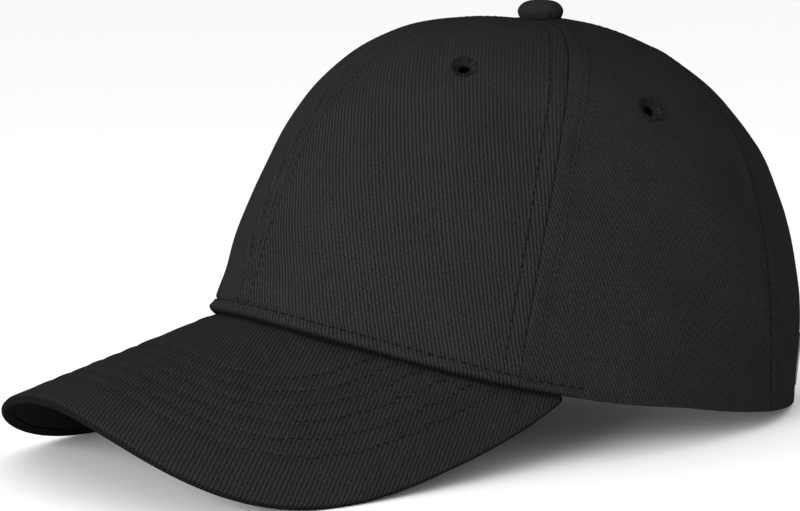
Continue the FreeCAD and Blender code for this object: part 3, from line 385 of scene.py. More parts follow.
ARCH_CORNER = float(halve(lambda a: rim_plan(a)[0] > ARCH_HALF_WIDTH, np.array(90.0), np.array(180.0)))
ARCH_FOOT_TURN = float(np.degrees(np.arcsin(
    (rim_height(ARCH_CORNER) - rim_height(180.0)) / ARCH_HEIGHT)))


# ---------- meshes ----------

def grid_faces(rows, columns, close_rows=False, close_columns=False, first=0, flip=False):
    """Quads of a grid of points numbered row by row."""
    row = np.arange(rows if close_rows else rows - 1)[:, None]
    column = np.arange(columns if close_columns else columns - 1)[None, :]
    next_row, next_column = (row + 1) % rows, (column + 1) % columns
    corners = [row * columns + column, row * columns + next_column,
               next_row * columns + next_column, next_row * columns + column]
    faces = np.stack([np.broadcast_to(corner, (row.size, column.size)) for corner in corners], -1)
    faces = faces.reshape(-1, 4) + first
    return faces[:, ::-1] if flip else faces


def make_mesh(name, points, faces, coords=None, weld=False, painted_shade=None):
    """Mesh object from points already in the row's frame, with cloth coordinates in millimetres.

    The last argument, 1 where it isn't given, is painted shade: a factor that darkens the cloth's colour
    where shade and shadow fall.
    """
    mesh = bpy.data.meshes.new(name)
    mesh.from_pydata(points.reshape(-1, 3).tolist(), [], [list(map(int, face)) for face in faces])
    if coords is not None:
        cloth = mesh.attributes.new("cloth", "FLOAT_VECTOR", "POINT")
        flat = np.zeros((len(mesh.vertices), 3), np.float32)
        coords = np.asarray(coords)
        flat[:, :2] = coords.reshape(-1, coords.shape[-1])[:, :2]
        flat[:, 2] = coords.reshape(-1, coords.shape[-1])[:, 2] if coords.shape[-1] > 2 else 1.0
        cloth.data.foreach_set("vector", flat.ravel())
        shade = mesh.attributes.new("painted_shade", "FLOAT", "POINT")
        depth = np.ones(len(mesh.vertices), np.float32) if painted_shade is None else np.asarray(painted_shade, np.float32)
        shade.data.foreach_set("value", depth.ravel())
    shape = bmesh.new()
    shape.from_mesh(mesh)
    if weld:
        bmesh.ops.remove_doubles(shape, verts=shape.verts, dist=2e-6)
    bmesh.ops.recalc_face_normals(shape, faces=shape.faces)
    shape.to_mesh(mesh)
    shape.free()
    mesh.shade_smooth()
    thing = bpy.data.objects.new(name, mesh)
    bpy.context.scene.collection.objects.link(thing)
    return thing


def slab(name, outer, inner, coords, painted_shade=None):
    """Closed sheet between two grids that meet at their borders."""
    rows, columns = outer.shape[:2]
    points = np.concatenate([to_row(outer).reshape(-1, 3), to_row(inner).reshape(-1, 3)])
    faces = np.concatenate([grid_faces(rows, columns),
                            grid_faces(rows, columns, first=rows * columns, flip=True)])
    return make_mesh(name, points, faces, np.concatenate([coords.reshape(-1, coords.shape[-1])] * 2), True,
                     None if painted_shade is None else np.concatenate([painted_shade.ravel()] * 2))


def adopt(thing, slot, *nodes, body="cap"):
    """Rides a piece on its body, gives it its finish and hides the CAD nodes that it stands for."""
    thing.data.materials.clear()
    thing.data.materials.append(MATERIALS[slot])
    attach(thing, body)
    if nodes:
        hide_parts(*nodes)
    return thing


def surface_tree(*things):
    """Search tree of the surfaces of some pieces."""
    corners, faces = [], []
    for thing in things:
        first = len(corners)
        corners += [vertex.co.copy() for vertex in thing.data.vertices]
        faces += [[first + index for index in polygon.vertices] for polygon in thing.data.polygons]
    return BVHTree.FromPolygons(corners, faces)


def waves(points, amplitude, length, seed):
    """Smooth unevenness: a sum of sines of the place, in millimetres."""
    random = np.random.RandomState(seed)
    total = np.zeros(points.shape[:-1])
    for _ in range(7):
        direction = unit(random.normal(size=3))
        pace = 2 * math.pi / (length * random.uniform(0.7, 1.5))
        total += np.sin(points @ direction * pace + random.uniform(0, 2 * math.pi))
    return amplitude * total / math.sqrt(7)


def lines(lengths, middle, last=True):
    """Fractions along lines of given lengths, crowded at the first end and, where it's asked, the last."""
    lengths = np.asarray(lengths, float)[:, None]
    scale = np.minimum(1.0, 0.46 * lengths / NEAR[-1])
    start = NEAR * scale
    end = lengths - NEAR[::-1] * scale if last else lengths
    inner = np.linspace(0, 1, middle + 2)[1:-1]
    between = start[:, -1:] + (end[:, :1] - start[:, -1:]) * inner
    return np.concatenate([start, between, end], 1) / lengths


def run_lengths(points, axis):
    """Distance along grid lines from their first point."""
    step = np.linalg.norm(np.diff(points, axis=axis), axis=-1)
    zero = np.zeros_like(np.take(step, [0], axis=axis))
    return np.concatenate([zero, np.cumsum(step, axis=axis)], axis=axis)


# ---------- crown panels ----------

def seam_relief(distance, groove, draw):
    """Cloth beside a seam: pinched in at the seam, raised by the allowance, drawn down by stitches."""
    raised = SEAM_RAISE * (1 - smooth(distance, ALLOWANCE - 0.5, ALLOWANCE + 1.5))
    raised += SEAM_RIDGE * dip(distance, SEAM_RIDGE_AT, SEAM_RIDGE_WIDTH)
    raised = raised - groove * dip(distance, 0.0, GROOVE_WIDTH)
    return raised - draw * dip(distance, SEAM_STITCH, DRAW_WIDTH)


def front_share(angle):
    """1 where the crown is sewn to the visor, easing to 0 behind its corner."""
    return 1 - smooth(around(angle), CORNER - 3.0, CORNER + 4.5)


def topstitch_height(angle):
    """Distance of the row above the visor from the rim; it draws closer towards the visor's corners."""
    return TOPSTITCH - TOPSTITCH_DROP * smooth(around(angle), TOPSTITCH_DROP_START, CORNER)


def rim_relief(distance, angle):
    """Rolled band over the visor under its topstitch, and a folded edge elsewhere."""
    front = front_share(angle)
    roll = ROLL * dip(distance, ROLL_AT, ROLL_WIDTH)
    roll = roll - ROLL_DRAW * dip(distance, topstitch_height(angle), ROLL_DRAW_WIDTH)
    tuck = ROLL_TUCK * dip(distance, 0.0, ROLL_TUCK_WIDTH)
    roll += ROLL_FILL * (1 - smooth(distance, *ROLL_FILL_END)) - tuck
    fold = HEM_RAISE * (1 - smooth(distance, *HEM_RAISE_END))
    return front * roll + (1 - front) * fold


def arch_relief(distance):
    """Turned-in edge of the rear opening with its two rows of stitches."""
    fold = ARCH_RAISE * (1 - smooth(distance, BINDING_WIDTH - 1.0, BINDING_WIDTH + 1.5))
    for row in ARCH_ROWS:
        fold = fold - ARCH_DRAW * dip(distance, row, ARCH_DRAW_WIDTH)
    return fold


def rounding(distance, radius):
    """0 at an edge, 1 further in than the radius, on a quarter circle."""
    left = np.clip(1 - distance / radius, 0, 1)
    return np.sqrt(np.maximum(0.0, 1 - left * left))


def plain_patch(first_seam, second_seam):
    """Function of two fractions for a panel between two seams."""
    shares = np.linspace(0, TOP_SHARE, 200)
    middle = (first_seam(shares) + second_seam(shares)) / 2
    run = run_lengths(crown_point(middle, shares), 0)

    def patch(across, up):
        """Angle and share at a fraction of the way between the seams and of the way up."""
        share = np.interp(up, run / run[-1], shares)
        first, second = first_seam(share), second_seam(share)
        return first + (second - first) * across, share
    return patch


def polar(angle, share):
    """Flat map of the crown with the apex at zero."""
    return np.stack([(1 - share) * np.sin(radians(angle)), -(1 - share) * np.cos(radians(angle))], -1)


def curve_of(angle, share):
    """Point on the flat map at a fraction of the length of a curve on the crown."""
    run = run_lengths(crown_point(angle, share), 0)
    flat = polar(angle, share)

    def at(fraction):
        """Flat map point at a fraction of the curve's length."""
        along = fraction * run[-1]
        return np.stack([np.interp(along, run, flat[:, 0]), np.interp(along, run, flat[:, 1])], -1)
    return at


def back_patch():
    """Function of two fractions for a back panel: seam, rim, rear opening and centre seam are its sides."""
    shares = np.linspace(0, TOP_SHARE, 300)
    seam = curve_of(rear_seam(shares), shares)
    foot = curve_of(np.linspace(REAR_SEAM[0], ARCH_CORNER, 120), np.zeros(120))
    arch_angle, arch_share = arch_place(np.linspace(ARCH_FOOT_TURN, 90.0, 400), 0.0)
    arch_share[0] = 0.0
    arch = curve_of(arch_angle, arch_share)
    top_angles = np.concatenate([np.linspace(rear_seam(TOP_SHARE), 180.0, 12), np.full(250, 180.0)])
    top_shares = np.concatenate([np.full(12, TOP_SHARE), np.linspace(TOP_SHARE, arch_share[-1], 250)])
    top = curve_of(top_angles, top_shares)
    corners = [foot(np.array(0.0)), foot(np.array(1.0)), top(np.array(0.0)), top(np.array(1.0))]

    def patch(across, up):
        """Angle and share at two fractions: a blend of the four sides, less that of the corners."""
        u, v = across[..., None], up[..., None]
        sides = (1 - u) * seam(up) + u * arch(up) + (1 - v) * foot(across) + v * top(across)
        blend = (1 - u) * (1 - v) * corners[0] + u * (1 - v) * corners[1]
        blend = blend + (1 - u) * v * corners[2] + u * v * corners[3]
        flat = sides - blend
        share = 1 - np.hypot(flat[..., 0], flat[..., 1])
        angle = np.degrees(np.arctan2(flat[..., 0], -flat[..., 1])) % 360
        return angle, share
    return patch


def panel_grid(patch, columns, rows, top_edge):
    """Angles and shares of a panel's grid, crowded towards its seams and edges."""
    coarse = np.linspace(0, 1, 41)
    across, up = np.meshgrid(coarse, coarse)
    points = crown_point(*patch(across, up))
    widths = run_lengths(points, 1)[:, -1]
    heights = run_lengths(points, 0)[-1, :]
    up_lines = lines(heights, rows, last=top_edge)
    across_lines = lines(widths, columns)
    row_count, column_count = up_lines.shape[1], across_lines.shape[1]
    across_at = np.linspace(0, 1, column_count)[None, :] * np.ones((row_count, 1))
    for _ in range(3):
        up_at = np.stack([np.interp(across_at[row], coarse, up_lines[:, row]) for row in range(row_count)])
        across_at = np.stack([np.interp(up_at[:, column], coarse, across_lines[:, column])
                              for column in range(column_count)], 1)
    return patch(across_at, up_at)


ARC_STEP, ARC_SHARE_STEP = 1.0, 0.02
ARC_TABLE = run_lengths(crown_point(np.arange(0, 186, ARC_STEP)[None, :],
                                    np.arange(0, 0.99, ARC_SHARE_STEP)[:, None]), 1)


def arc_length(angle, share):
    """Length round the crown from the centre front at a share of the way up."""
    rows, columns = ARC_TABLE.shape
    row = np.clip(share / ARC_SHARE_STEP, 0, rows - 1.001)
    column = np.clip(angle / ARC_STEP, 0, columns - 1.001)
    low, left = row.astype(int), column.astype(int)
    up, right = row - low, column - left
    below = ARC_TABLE[low, left] * (1 - right) + ARC_TABLE[low, left + 1] * right
    above = ARC_TABLE[low + 1, left] * (1 - right) + ARC_TABLE[low + 1, left + 1] * right
    return below * (1 - up) + above * up


def cloth_coords(kind, side, angle, share):
    """Place in the flat cloth, turned so that the first number runs across the twill's ribs.

    The third number is how strongly the ribs' colour stands out, the twill's own pattern with painted shade
    added: strongest on the front, where the key light falls, and weaker higher up.
    """
    middle = PANEL_MIDDLE[kind]
    shares = np.linspace(0, 1, 200)
    heights = run_lengths(crown_point(middle, shares), 0)
    up = np.interp(share, shares, heights)
    up = up + RIB_BEND * np.maximum(0.0, up - RIB_BEND_START) ** 2
    across = side * (arc_length(angle, share) - arc_length(middle + 0.0 * angle, share))
    show = RIB_SHOW[kind] * (1 - 0.8 * smooth(share, 0.2, 0.6))
    return rib_coords(across, up, RIB_ANGLES[kind], show)


def rib_coords(across, up, rib_angle, show=1.0, pitch=RIB_PITCH):
    """Flat cloth turned so that the first number runs across the ribs; show is how strong they look."""
    turn = math.radians(rib_angle)
    across, up = across * RIB_PITCH / pitch, up * RIB_PITCH / pitch
    return np.stack([across * math.sin(turn) - up * math.cos(turn),
                     across * math.cos(turn) + up * math.sin(turn), show + 0.0 * across], -1)


def visor_rib_coords(across, forward):
    """Rib coordinates of the visor's cloth, whose ribs fan out where it is stretched round the board."""
    coords = rib_coords(across, -forward, RIB_ANGLES["visor"], RIB_SHOW["visor"], VISOR_RIB_PITCH)
    coords[..., 0] *= 1 + VISOR_RIB_FAN * coords[..., 1]
    return coords


def mirror(points, side):
    """Points on the wearer's left (side 1) or mirrored to the right (side -1)."""
    return points * np.array([side, 1.0, 1.0])


def eyelet_frame(kind, side):
    """Centre and outward normal of an eyelet in the row's frame, metres."""
    angle, share = np.array(EYELET_ANGLES[kind]), np.array(EYELET_SHARE)
    normal = crown_normal(angle, share)
    centre = crown_point(angle, share)
    ends = to_row(mirror(np.stack([centre, centre + normal]), side))
    return Vector(ends[0]), Vector(unit(ends[1] - ends[0]))


def sink_eyelet(thing, centre, normal):
    """Finer mesh round an eyelet, drawn down into the dish that its threads pull in the cloth."""
    shape = bmesh.new()
    shape.from_mesh(thing.data)
    near = [edge for edge in shape.edges
            if all((vert.co - centre).length < DISH_REACH * MM for vert in edge.verts)]
    bmesh.ops.subdivide_edges(shape, edges=near, cuts=3, use_grid_fill=True)
    for vert in shape.verts:
        away = (vert.co - centre).length / MM
        vert.co -= normal * float(DISH_DEPTH * MM * (1 - smooth(away, DISH_FLOOR, DISH_RIM)))
    shape.to_mesh(thing.data)
    shape.free()
    thing.data.shade_smooth()


def punch(thing, centre, normal, radius):
    """Cuts a round hole through a closed sheet."""
    bpy.context.view_layer.update()
    shape = bmesh.new()
    turn = normal.to_track_quat("Z", "Y").to_matrix().to_4x4()
    bmesh.ops.create_cone(shape, cap_ends=True, segments=48, radius1=radius * MM, radius2=radius * MM,
                          depth=14 * MM, matrix=Matrix.Translation(centre) @ turn)
    mesh = bpy.data.meshes.new("cutter")
    shape.to_mesh(mesh)
    shape.free()
    cutter = bpy.data.objects.new("cutter", mesh)
    bpy.context.scene.collection.objects.link(cutter)
    cut = thing.modifiers.new("hole", "BOOLEAN")
    cut.operation = "DIFFERENCE"
    cut.solver = "EXACT"
    cut.object = cutter
    solved = thing.evaluated_get(bpy.context.evaluated_depsgraph_get())
    result = bpy.data.meshes.new_from_object(solved)
    thing.modifiers.clear()
    thing.data = result
    bpy.data.objects.remove(cutter)


def flat_size(points):
    """Width, length and area of the flat cut, in metres: cloth keeps its size when it is sewn."""
    widths = run_lengths(points, 1)[:, -1]
    heights = run_lengths(points, 0)[-1, :]
    right = np.diff(points, axis=1)[:-1]
    up = np.diff(points, axis=0)[:, :-1]
    area = float(np.linalg.norm(np.cross(right, up), axis=-1).sum()) * MM * MM
    width, length = float(widths.max()) * MM, float(heights.max()) * MM
    return (width, length), min(area, width * length)


def pattern_size(across, forward):
    """Width and length in metres of a pattern that is already flat."""
    return float(np.ptp(across)) * MM, float(np.ptp(forward)) * MM


def side_distances(surface):
    """Distances of a panel's grid points from its left, right, lower and upper sides."""
    left, low = run_lengths(surface, 1), run_lengths(surface, 0)
    return left, left[:, -1:] - left, low, low[-1:, :] - low


def panel_relief(angle, share, sides, top_edge, grooves, draws):
    """How far a panel's cloth stands out at its seams, its rim and the rear opening."""
    left, right, low, high = sides
    near_apex = 1 - 0.8 * smooth(share, 0.78, 0.93)
    above_roll = 1 - front_share(angle) * (1 - smooth(low, 4.0, 22.0))
    relief = seam_relief(left, grooves[0], draws[0])
    relief = relief + (arch_relief(right) if top_edge else seam_relief(right, grooves[1], draws[1]))
    if top_edge:
        relief = relief + seam_relief(high, grooves[1], draws[1])
    return relief * near_apex * above_roll + rim_relief(low, angle)


def panel_fullness(sides, top_edge):
    """Share of the cloth's thickness that is left towards a panel's rounded seams and hems."""
    left, right, low, high = sides
    if top_edge:
        full = np.minimum(rounding(np.minimum(left, high), SEAM_ROUND), rounding(right, HEM_ROUND))
    else:
        full = rounding(np.minimum(left, right), SEAM_ROUND)
    return np.minimum(full, rounding(low, HEM_ROUND))[..., None]


def add_unevenness(relief, kind, surface, sides, top_edge):
    """Relief with the cloth's slow waves and the puckers beside its seams, faded out at its edges."""
    left, right, low, high = sides
    edge = np.minimum(left, right)
    if top_edge:
        edge = np.minimum(edge, high)
    fade = smooth(np.minimum(edge, low), 0.5, 7.0)
    stiff = STIFFENED if kind == "front" else 1.0
    uneven = sum(waves(surface, amplitude * stiff, length, seed) for amplitude, length, seed in CLOTH_WAVES)
    beside = dip(left, PUCKER_AT, PUCKER_WIDTH) + dip(right, PUCKER_AT, PUCKER_WIDTH)
    pucker = waves(surface, *PUCKER_WAVES) * beside
    return relief + uneven * fade + pucker * fade


def make_panels():
    """Six cloth panels with their seam allowances, rolled or folded edges and eyelet holes."""
    # Kind, patch, whether its top is an edge, then depths of the grooves and draws at its two seams.
    layouts = (
        ("front", plain_patch(centre_front, front_seam), False, (0.12, 0.3), (0.3, 0.34)),
        ("side", plain_patch(front_seam, rear_seam), False, (0.3, 0.45), (0.3, 0.0)),
        ("back", back_patch(), True, (0.45, 0.4), (0.2, 0.3)),
    )
    panels = []
    for kind, patch, top_edge, grooves, draws in layouts:
        angle, share = panel_grid(patch, PANEL_COLUMNS[kind], PANEL_ROWS, top_edge)
        surface, normal = crown_point(angle, share), crown_normal(angle, share)
        sides = side_distances(surface)
        relief = panel_relief(angle, share, sides, top_edge, grooves, draws)
        full = panel_fullness(sides, top_edge)
        # Painted shade: darker under the rolled foot over the visor, on the side and back panels and higher
        # up the crown.
        painted_shade = 1 - FOOT_SHADE * front_share(angle) * (1 - smooth(sides[2], *FOOT_SHADE_END))
        painted_shade = painted_shade * PANEL_PAINTED_SHADE[kind] * (1 - APEX_SHADE * smooth(share, *APEX_SHADE_SHARES))
        flat, area = flat_size(surface)
        for side_name, side in SIDES:
            out = add_unevenness(relief, kind, mirror(surface, side), sides, top_edge)[..., None]
            top = surface + normal * out
            under = surface + normal * (out - PANEL_THICKNESS)
            core = (top + under) / 2
            outer, inner = core + (top - core) * full, core + (under - core) * full
            coords = cloth_coords(kind, side, angle, share)
            name = "%s_panel_%s" % (kind, side_name)
            panel = slab(name + "_cloth", mirror(outer, side), mirror(inner, side), coords, painted_shade)
            sink_eyelet(panel, *eyelet_frame(kind, side))
            punch(panel, *eyelet_frame(kind, side), EYELET_CUT_RADIUS)
            adopt(panel, "crown_twill", name)
            panels.append(panel)
    return panels


# ---------- stitches ----------

def capsule(around_count=6, along_count=5):
    """Unit stitch: a stretched bead along X."""
    points = [[-1.0, 0, 0]]
    for row in range(1, along_count):
        turn = math.pi * row / along_count
        girth = math.sin(turn) ** 0.6
        for column in range(around_count):
            way = 2 * math.pi * column / around_count
            points.append([-math.cos(turn), girth * math.cos(way), girth * math.sin(way)])
    points.append([1.0, 0, 0])
    faces = grid_faces(along_count - 1, around_count, close_columns=True, first=1).tolist()
    last = len(points) - 1
    for column in range(around_count):
        following = (column + 1) % around_count
        faces.append([0, 1 + following, 1 + column])
        start = 1 + (along_count - 2) * around_count
        faces.append([last, start + column, start + following])
    return np.array(points), faces


def stitch_frames(path, tree, pitch=STITCH_PITCH, sink=0.03):
    """Places of the stitches along a path in the row's frame, laid on a surface."""
    path = np.asarray(path, float)
    run = run_lengths(path, 0)
    count = max(2, int(run[-1] / (pitch * MM)))
    places = (np.arange(count) + 0.5) * run[-1] / count
    half = STITCH_LENGTH * MM / 2
    frames = []
    ends = [np.stack([np.interp(places + shift, run, path[:, axis]) for axis in range(3)], -1)
            for shift in (-half, half)]
    for start, end in zip(*ends):
        first, normal, _, _ = tree.find_nearest(Vector(start))
        second, other, _, _ = tree.find_nearest(Vector(end))
        along = second - first
        if along.length < half:
            continue
        up = (normal + other).normalized()
        aim = along.normalized()
        across = up.cross(aim).normalized()
        middle = (first + second) / 2 - up * sink * MM
        frames.append((middle, aim, across, aim.cross(across)))
    return frames


def make_stitches(name, frames, body="cap", radius=THREAD_RADIUS, finish="sewing_thread", seed=3):
    """One piece holding a run of stitches."""
    unit_points, unit_faces = capsule()
    random = np.random.RandomState(seed)
    points, faces = [], []
    for middle, aim, across, up in frames:
        skew = random.uniform(-0.09, 0.09)
        length = STITCH_LENGTH / 2 * random.uniform(0.92, 1.06)
        axes = np.array([aim + across * skew, across, up])
        scaled = unit_points * np.array([length, radius, radius * 0.85]) * MM
        faces += [[len(points) * len(unit_points) + index for index in face] for face in unit_faces]
        points.append(scaled @ axes + np.array(middle))
    thing = adopt(make_mesh(name, np.concatenate(points), faces), "eyelet_thread", body=body)
    thing.data.materials[0] = THREADS[finish]
    return thing


def seam_path(seam, offset, low, high, side, count=160):
    """Path just outside the crown, at an offset beside a seam, in the row's frame."""
    shares = np.linspace(low, high, count)
    angle = seam(shares)
    angle = angle + turn_for(offset, angle, shares)
    return to_row(mirror(crown_layer(angle, shares, -STITCH_REACH), side))


def share_for_run(angle, length):
    """Share at a short distance along the surface from the rim."""
    angle = np.asarray(angle, float)
    steps = 1000
    step = np.linalg.norm(crown_point(angle, 1 / steps) - crown_point(angle, 0.0), axis=-1) * steps
    return length / step


def make_crown_stitching(panels):
    """Rows beside every crown seam, the row above the visor and the rows round the rear opening."""
    tree = surface_tree(*panels)
    dark, worn = [], []
    arch_top = float(arch_place(np.array([90.0]), BINDING_WIDTH)[1][0])
    rows = [(centre_front, 1.0, SEAM_FOOT), (centre_back, 1.0, arch_top)]
    rows += [(seam, side, SEAM_FOOT) for seam in (front_seam, rear_seam) for _, side in SIDES]
    for seam, side, low in rows:
        before = REAR_SEAM_STITCH if seam is rear_seam else SEAM_STITCH
        for offset in (-before, SEAM_STITCH):
            on_front = seam is centre_front or (seam is not centre_back and offset < 0)
            frames = dark if on_front else worn
            frames += stitch_frames(seam_path(seam, offset, low, SEAM_TOP, side), tree)
    make_stitches("front_seam_stitching", dark, radius=FRONT_THREAD_RADIUS, seed=2)
    make_stitches("crown_seam_stitching", worn, radius=WORN_THREAD_RADIUS, finish="worn_thread")
    end = CORNER + TOPSTITCH_PAST_CORNER
    angles = np.linspace(-end, end, 300)
    path = to_row(crown_layer(angles, share_for_run(angles, topstitch_height(angles)), -STITCH_REACH))
    frames = stitch_frames(path, tree, TOPSTITCH_PITCH)
    make_stitches("visor_seam_topstitching", frames, radius=TOPSTITCH_RADIUS, seed=4)
    frames = []
    for out in ARCH_ROWS:
        turns = np.linspace(ARCH_FOOT_TURN + ARCH_ROW_END, 180.0 - ARCH_FOOT_TURN - ARCH_ROW_END, 200)
        frames += stitch_frames(to_row(crown_layer(*arch_place(turns, out), -STITCH_REACH)), tree)
    make_stitches("rear_opening_stitching", frames, seed=5)


def curve_through(line, steps):
    """Smooth curve through a line's points, without its outer two, in steps between points."""
    curve = []
    for index in range(len(line) - 3):
        before, start, end, after = line[index:index + 4]
        for step in range(steps):
            part = step / steps
            curve.append(0.5 * (2 * start + (end - before) * part
                                + (2 * before - 5 * start + 4 * end - after) * part ** 2
                                + (3 * start - before - 3 * end + after) * part ** 3))
    return curve


def embroidered_ring(section, turn, seed):
    """Radius and height of the threads that lie side by side over a section."""
    random = np.random.RandomState(seed)
    jitter = np.repeat(random.uniform(*THREAD_JITTER, EYELET_THREADS), THREAD_SAMPLES)
    ridge = np.abs(np.sin(turn * EYELET_THREADS / 2))
    outer_part = smooth(section[:, 0], *THREAD_OUTER)[:, None]
    radius = section[:, :1] + outer_part * jitter[None, :] + THREAD_RIDGE * ridge[None, :]
    way = np.sign(section[:, 1:] + EYELET_WAIST)
    lift = way * (THREAD_LIFT * (ridge[None, :] - 0.5)) * (0.4 + 0.6 * outer_part)
    return radius, section[:, 1:] + lift


def make_eyelets():
    """Embroidered rings: a round of satin threads that rolls through each hole."""
    closed = np.concatenate([EYELET_PROFILE[-1:], EYELET_PROFILE, EYELET_PROFILE[:2]])
    section = np.array(curve_through(closed, 4))
    samples = EYELET_THREADS * THREAD_SAMPLES
    turn = np.arange(samples) / samples * 2 * math.pi
    for kind in EYELET_ANGLES:
        for side_name, side in SIDES:
            radius, height = embroidered_ring(section, turn, len(kind) * 2 + int(side))
            centre, normal = eyelet_frame(kind, side)
            turned = np.array(normal.to_track_quat("Z", "Y").to_matrix())
            local = np.stack([radius * np.cos(turn), radius * np.sin(turn), height + 0 * radius], -1) * MM
            points = local @ turned.T + np.array(centre)
            thread_at = turn * EYELET_THREADS / (2 * math.pi)
            coords = np.stack([radius, thread_at[None, :] + 0 * radius], -1)
            name = "eyelet_%s_%s" % (kind, side_name)
            ring = make_mesh(name + "_embroidery", points,
                             grid_faces(len(section), samples, True, True), coords)
            adopt(ring, "eyelet_thread", name)


# ---------- strips inside the crown ----------

def ribbon(name, angle, share, depth, thickness, coords, side=1.0, bulge=0.0, seed=21):
    """Closed strip below the crown's surface; its long edges are the grid's first and last columns."""
    surface, normal = crown_point(angle, share), crown_normal(angle, share)
    edge = run_lengths(surface, 1)
    edge = np.minimum(edge, edge[:, -1:] - edge)
    ends = run_lengths(surface, 0)
    ends = np.minimum(ends, ends[-1:, :] - ends)
    full = rounding(np.minimum(edge, ends), thickness * 0.5)
    uneven = waves(mirror(surface, side), *RIBBON_WAVES, seed)
    middle = depth + thickness / 2 + uneven - bulge
    half = thickness / 2 * full
    outer = surface - normal * (middle - half)[..., None]
    inner = surface - normal * (middle + half)[..., None]
    return slab(name, mirror(outer, side), mirror(inner, side), coords)


def make_seam_tapes():
    """Woven tapes over the seam allowances, with their twin rows of stitches."""
    arch_top = float(arch_place(np.array([90.0]), BINDING_WIDTH + 1.5)[1][0])
    layout = [("seam_tape_front", centre_front, 1.0, TAPE_FOOT_SHARE),
              ("seam_tape_back", centre_back, 1.0, arch_top)]
    for place, seam in (("front", front_seam), ("back", rear_seam)):
        for side_name, side in SIDES:
            layout.append(("seam_tape_%s_%s" % (place, side_name), seam, side, TAPE_FOOT_SHARE))
    tapes, frames = [], []
    offsets = TAPE_LINES * TAPE_HALF_WIDTH
    draw = TAPE_DRAW * dip(np.abs(offsets), SEAM_STITCH, TAPE_DRAW_WIDTH)
    draw = draw - TAPE_CROWN * dip(offsets, 0, TAPE_CROWN_WIDTH)
    for name, seam, side, low in layout:
        shares = np.concatenate([[low, low + 4e-4, low + 1e-3],
                                 np.linspace(low + 0.003, TAPE_TOP_SHARE, 90)])
        middle = seam(shares)
        angle = middle[:, None] + turn_for(1.0, middle, shares)[:, None] * offsets
        share = shares[:, None] + 0 * angle
        coords = np.stack([offsets + 0 * angle, run_lengths(crown_point(angle, share), 0)], -1)
        tape = ribbon(name + "_woven", angle, share, TAPE_DEPTH, TAPE_THICKNESS, coords, side, bulge=draw)
        adopt(tape, "seam_tape", name)
        tapes.append(tape)
    tree = surface_tree(*tapes)
    for name, seam, side, low in layout:
        for offset in (-SEAM_STITCH, SEAM_STITCH):
            shares = np.linspace(low + 0.01, TAPE_TOP_SHARE - 0.01, 120)
            angle = seam(shares)
            angle = angle + turn_for(offset, angle, shares)
            inside = crown_layer(angle, shares, 6.0 + 0 * shares)
            frames += stitch_frames(to_row(mirror(inside, side)), tree)
    make_stitches("seam_tape_stitching", frames, seed=6)


def make_buckram():
    """Open-weave stiffeners behind the front panels."""
    for side_name, side in SIDES:
        shares = np.linspace(BUCKRAM_FOOT, BUCKRAM_TOP, 50)
        first = centre_front(shares) + turn_for(BUCKRAM_INSET, centre_front(shares), shares)
        second = front_seam(shares) - turn_for(BUCKRAM_INSET, front_seam(shares), shares)
        part = np.concatenate([[0, .004, .012], np.linspace(0.03, 0.97, 30), [.988, .996, 1]])
        angle = first[:, None] + (second - first)[:, None] * part
        share = shares[:, None] + 0 * angle
        coords = cloth_coords("front", side, angle, share)
        name = "buckram_" + side_name
        sheet = ribbon(name + "_mesh", angle, share, BUCKRAM_DEPTH, BUCKRAM_THICKNESS, coords, side)
        punch(sheet, *eyelet_frame("front", side), BUCKRAM_HOLE_RADIUS)
        adopt(sheet, "buckram", name)
        flat, area = flat_size(crown_point(angle, share))


def sweat_depth(angle):
    """Depth of the sweatband's outer face below the crown's surface: greater beside the strap's pocket."""
    spread = SWEAT_DEPTH_REAR - SWEAT_DEPTH_FRONT
    return SWEAT_DEPTH_FRONT + spread * smooth(around(angle), *SWEAT_DEEPENS)


def band(name, slot, node, extra, thickness, bottom, top, end, plump, seed):
    """Band inside the rim, open at the rear, plump between its edges and stitch rows."""
    angles = np.concatenate([[-end, -end + .06, -end + .2], np.linspace(-end + .5, end - .5, 290),
                             [end - .2, end - .06, end]])
    heights = np.concatenate([bottom + NEAR[:9], np.linspace(bottom + 4.2, top - 4.2, 15),
                              top - NEAR[:9][::-1]])
    angle, height = np.meshgrid(angles, heights)
    share = share_at_height(angle, height)
    surface, normal = crown_point(angle, share), crown_normal(angle, share)
    depth = sweat_depth(angle) + extra
    run = run_lengths(surface, 1)
    ends = np.minimum(run, run[:, -1:] - run)
    low, high = height - bottom, top - height
    full = rounding(np.minimum(np.minimum(low, high), ends), thickness * 0.6)
    uneven = waves(surface, *SWEAT_WAVES, seed) + waves(surface, *FINE_SWEAT_WAVES, seed + 1)
    puff = plump * (smooth(low, 0.5, 6.0) * smooth(high, 0.5, 6.0))
    puff = puff - 0.35 * plump * (dip(low, 4.5, 0.8) + dip(high, 4.0, 0.8))
    half = thickness / 2 * full
    outer = surface - normal * (depth + thickness / 2 - half + 0.3 * uneven)[..., None]
    inner = surface - normal * (depth + thickness / 2 + half + (puff + uneven) * full)[..., None]
    return adopt(slab(name, outer, inner, np.stack([run, height], -1)), slot, node)


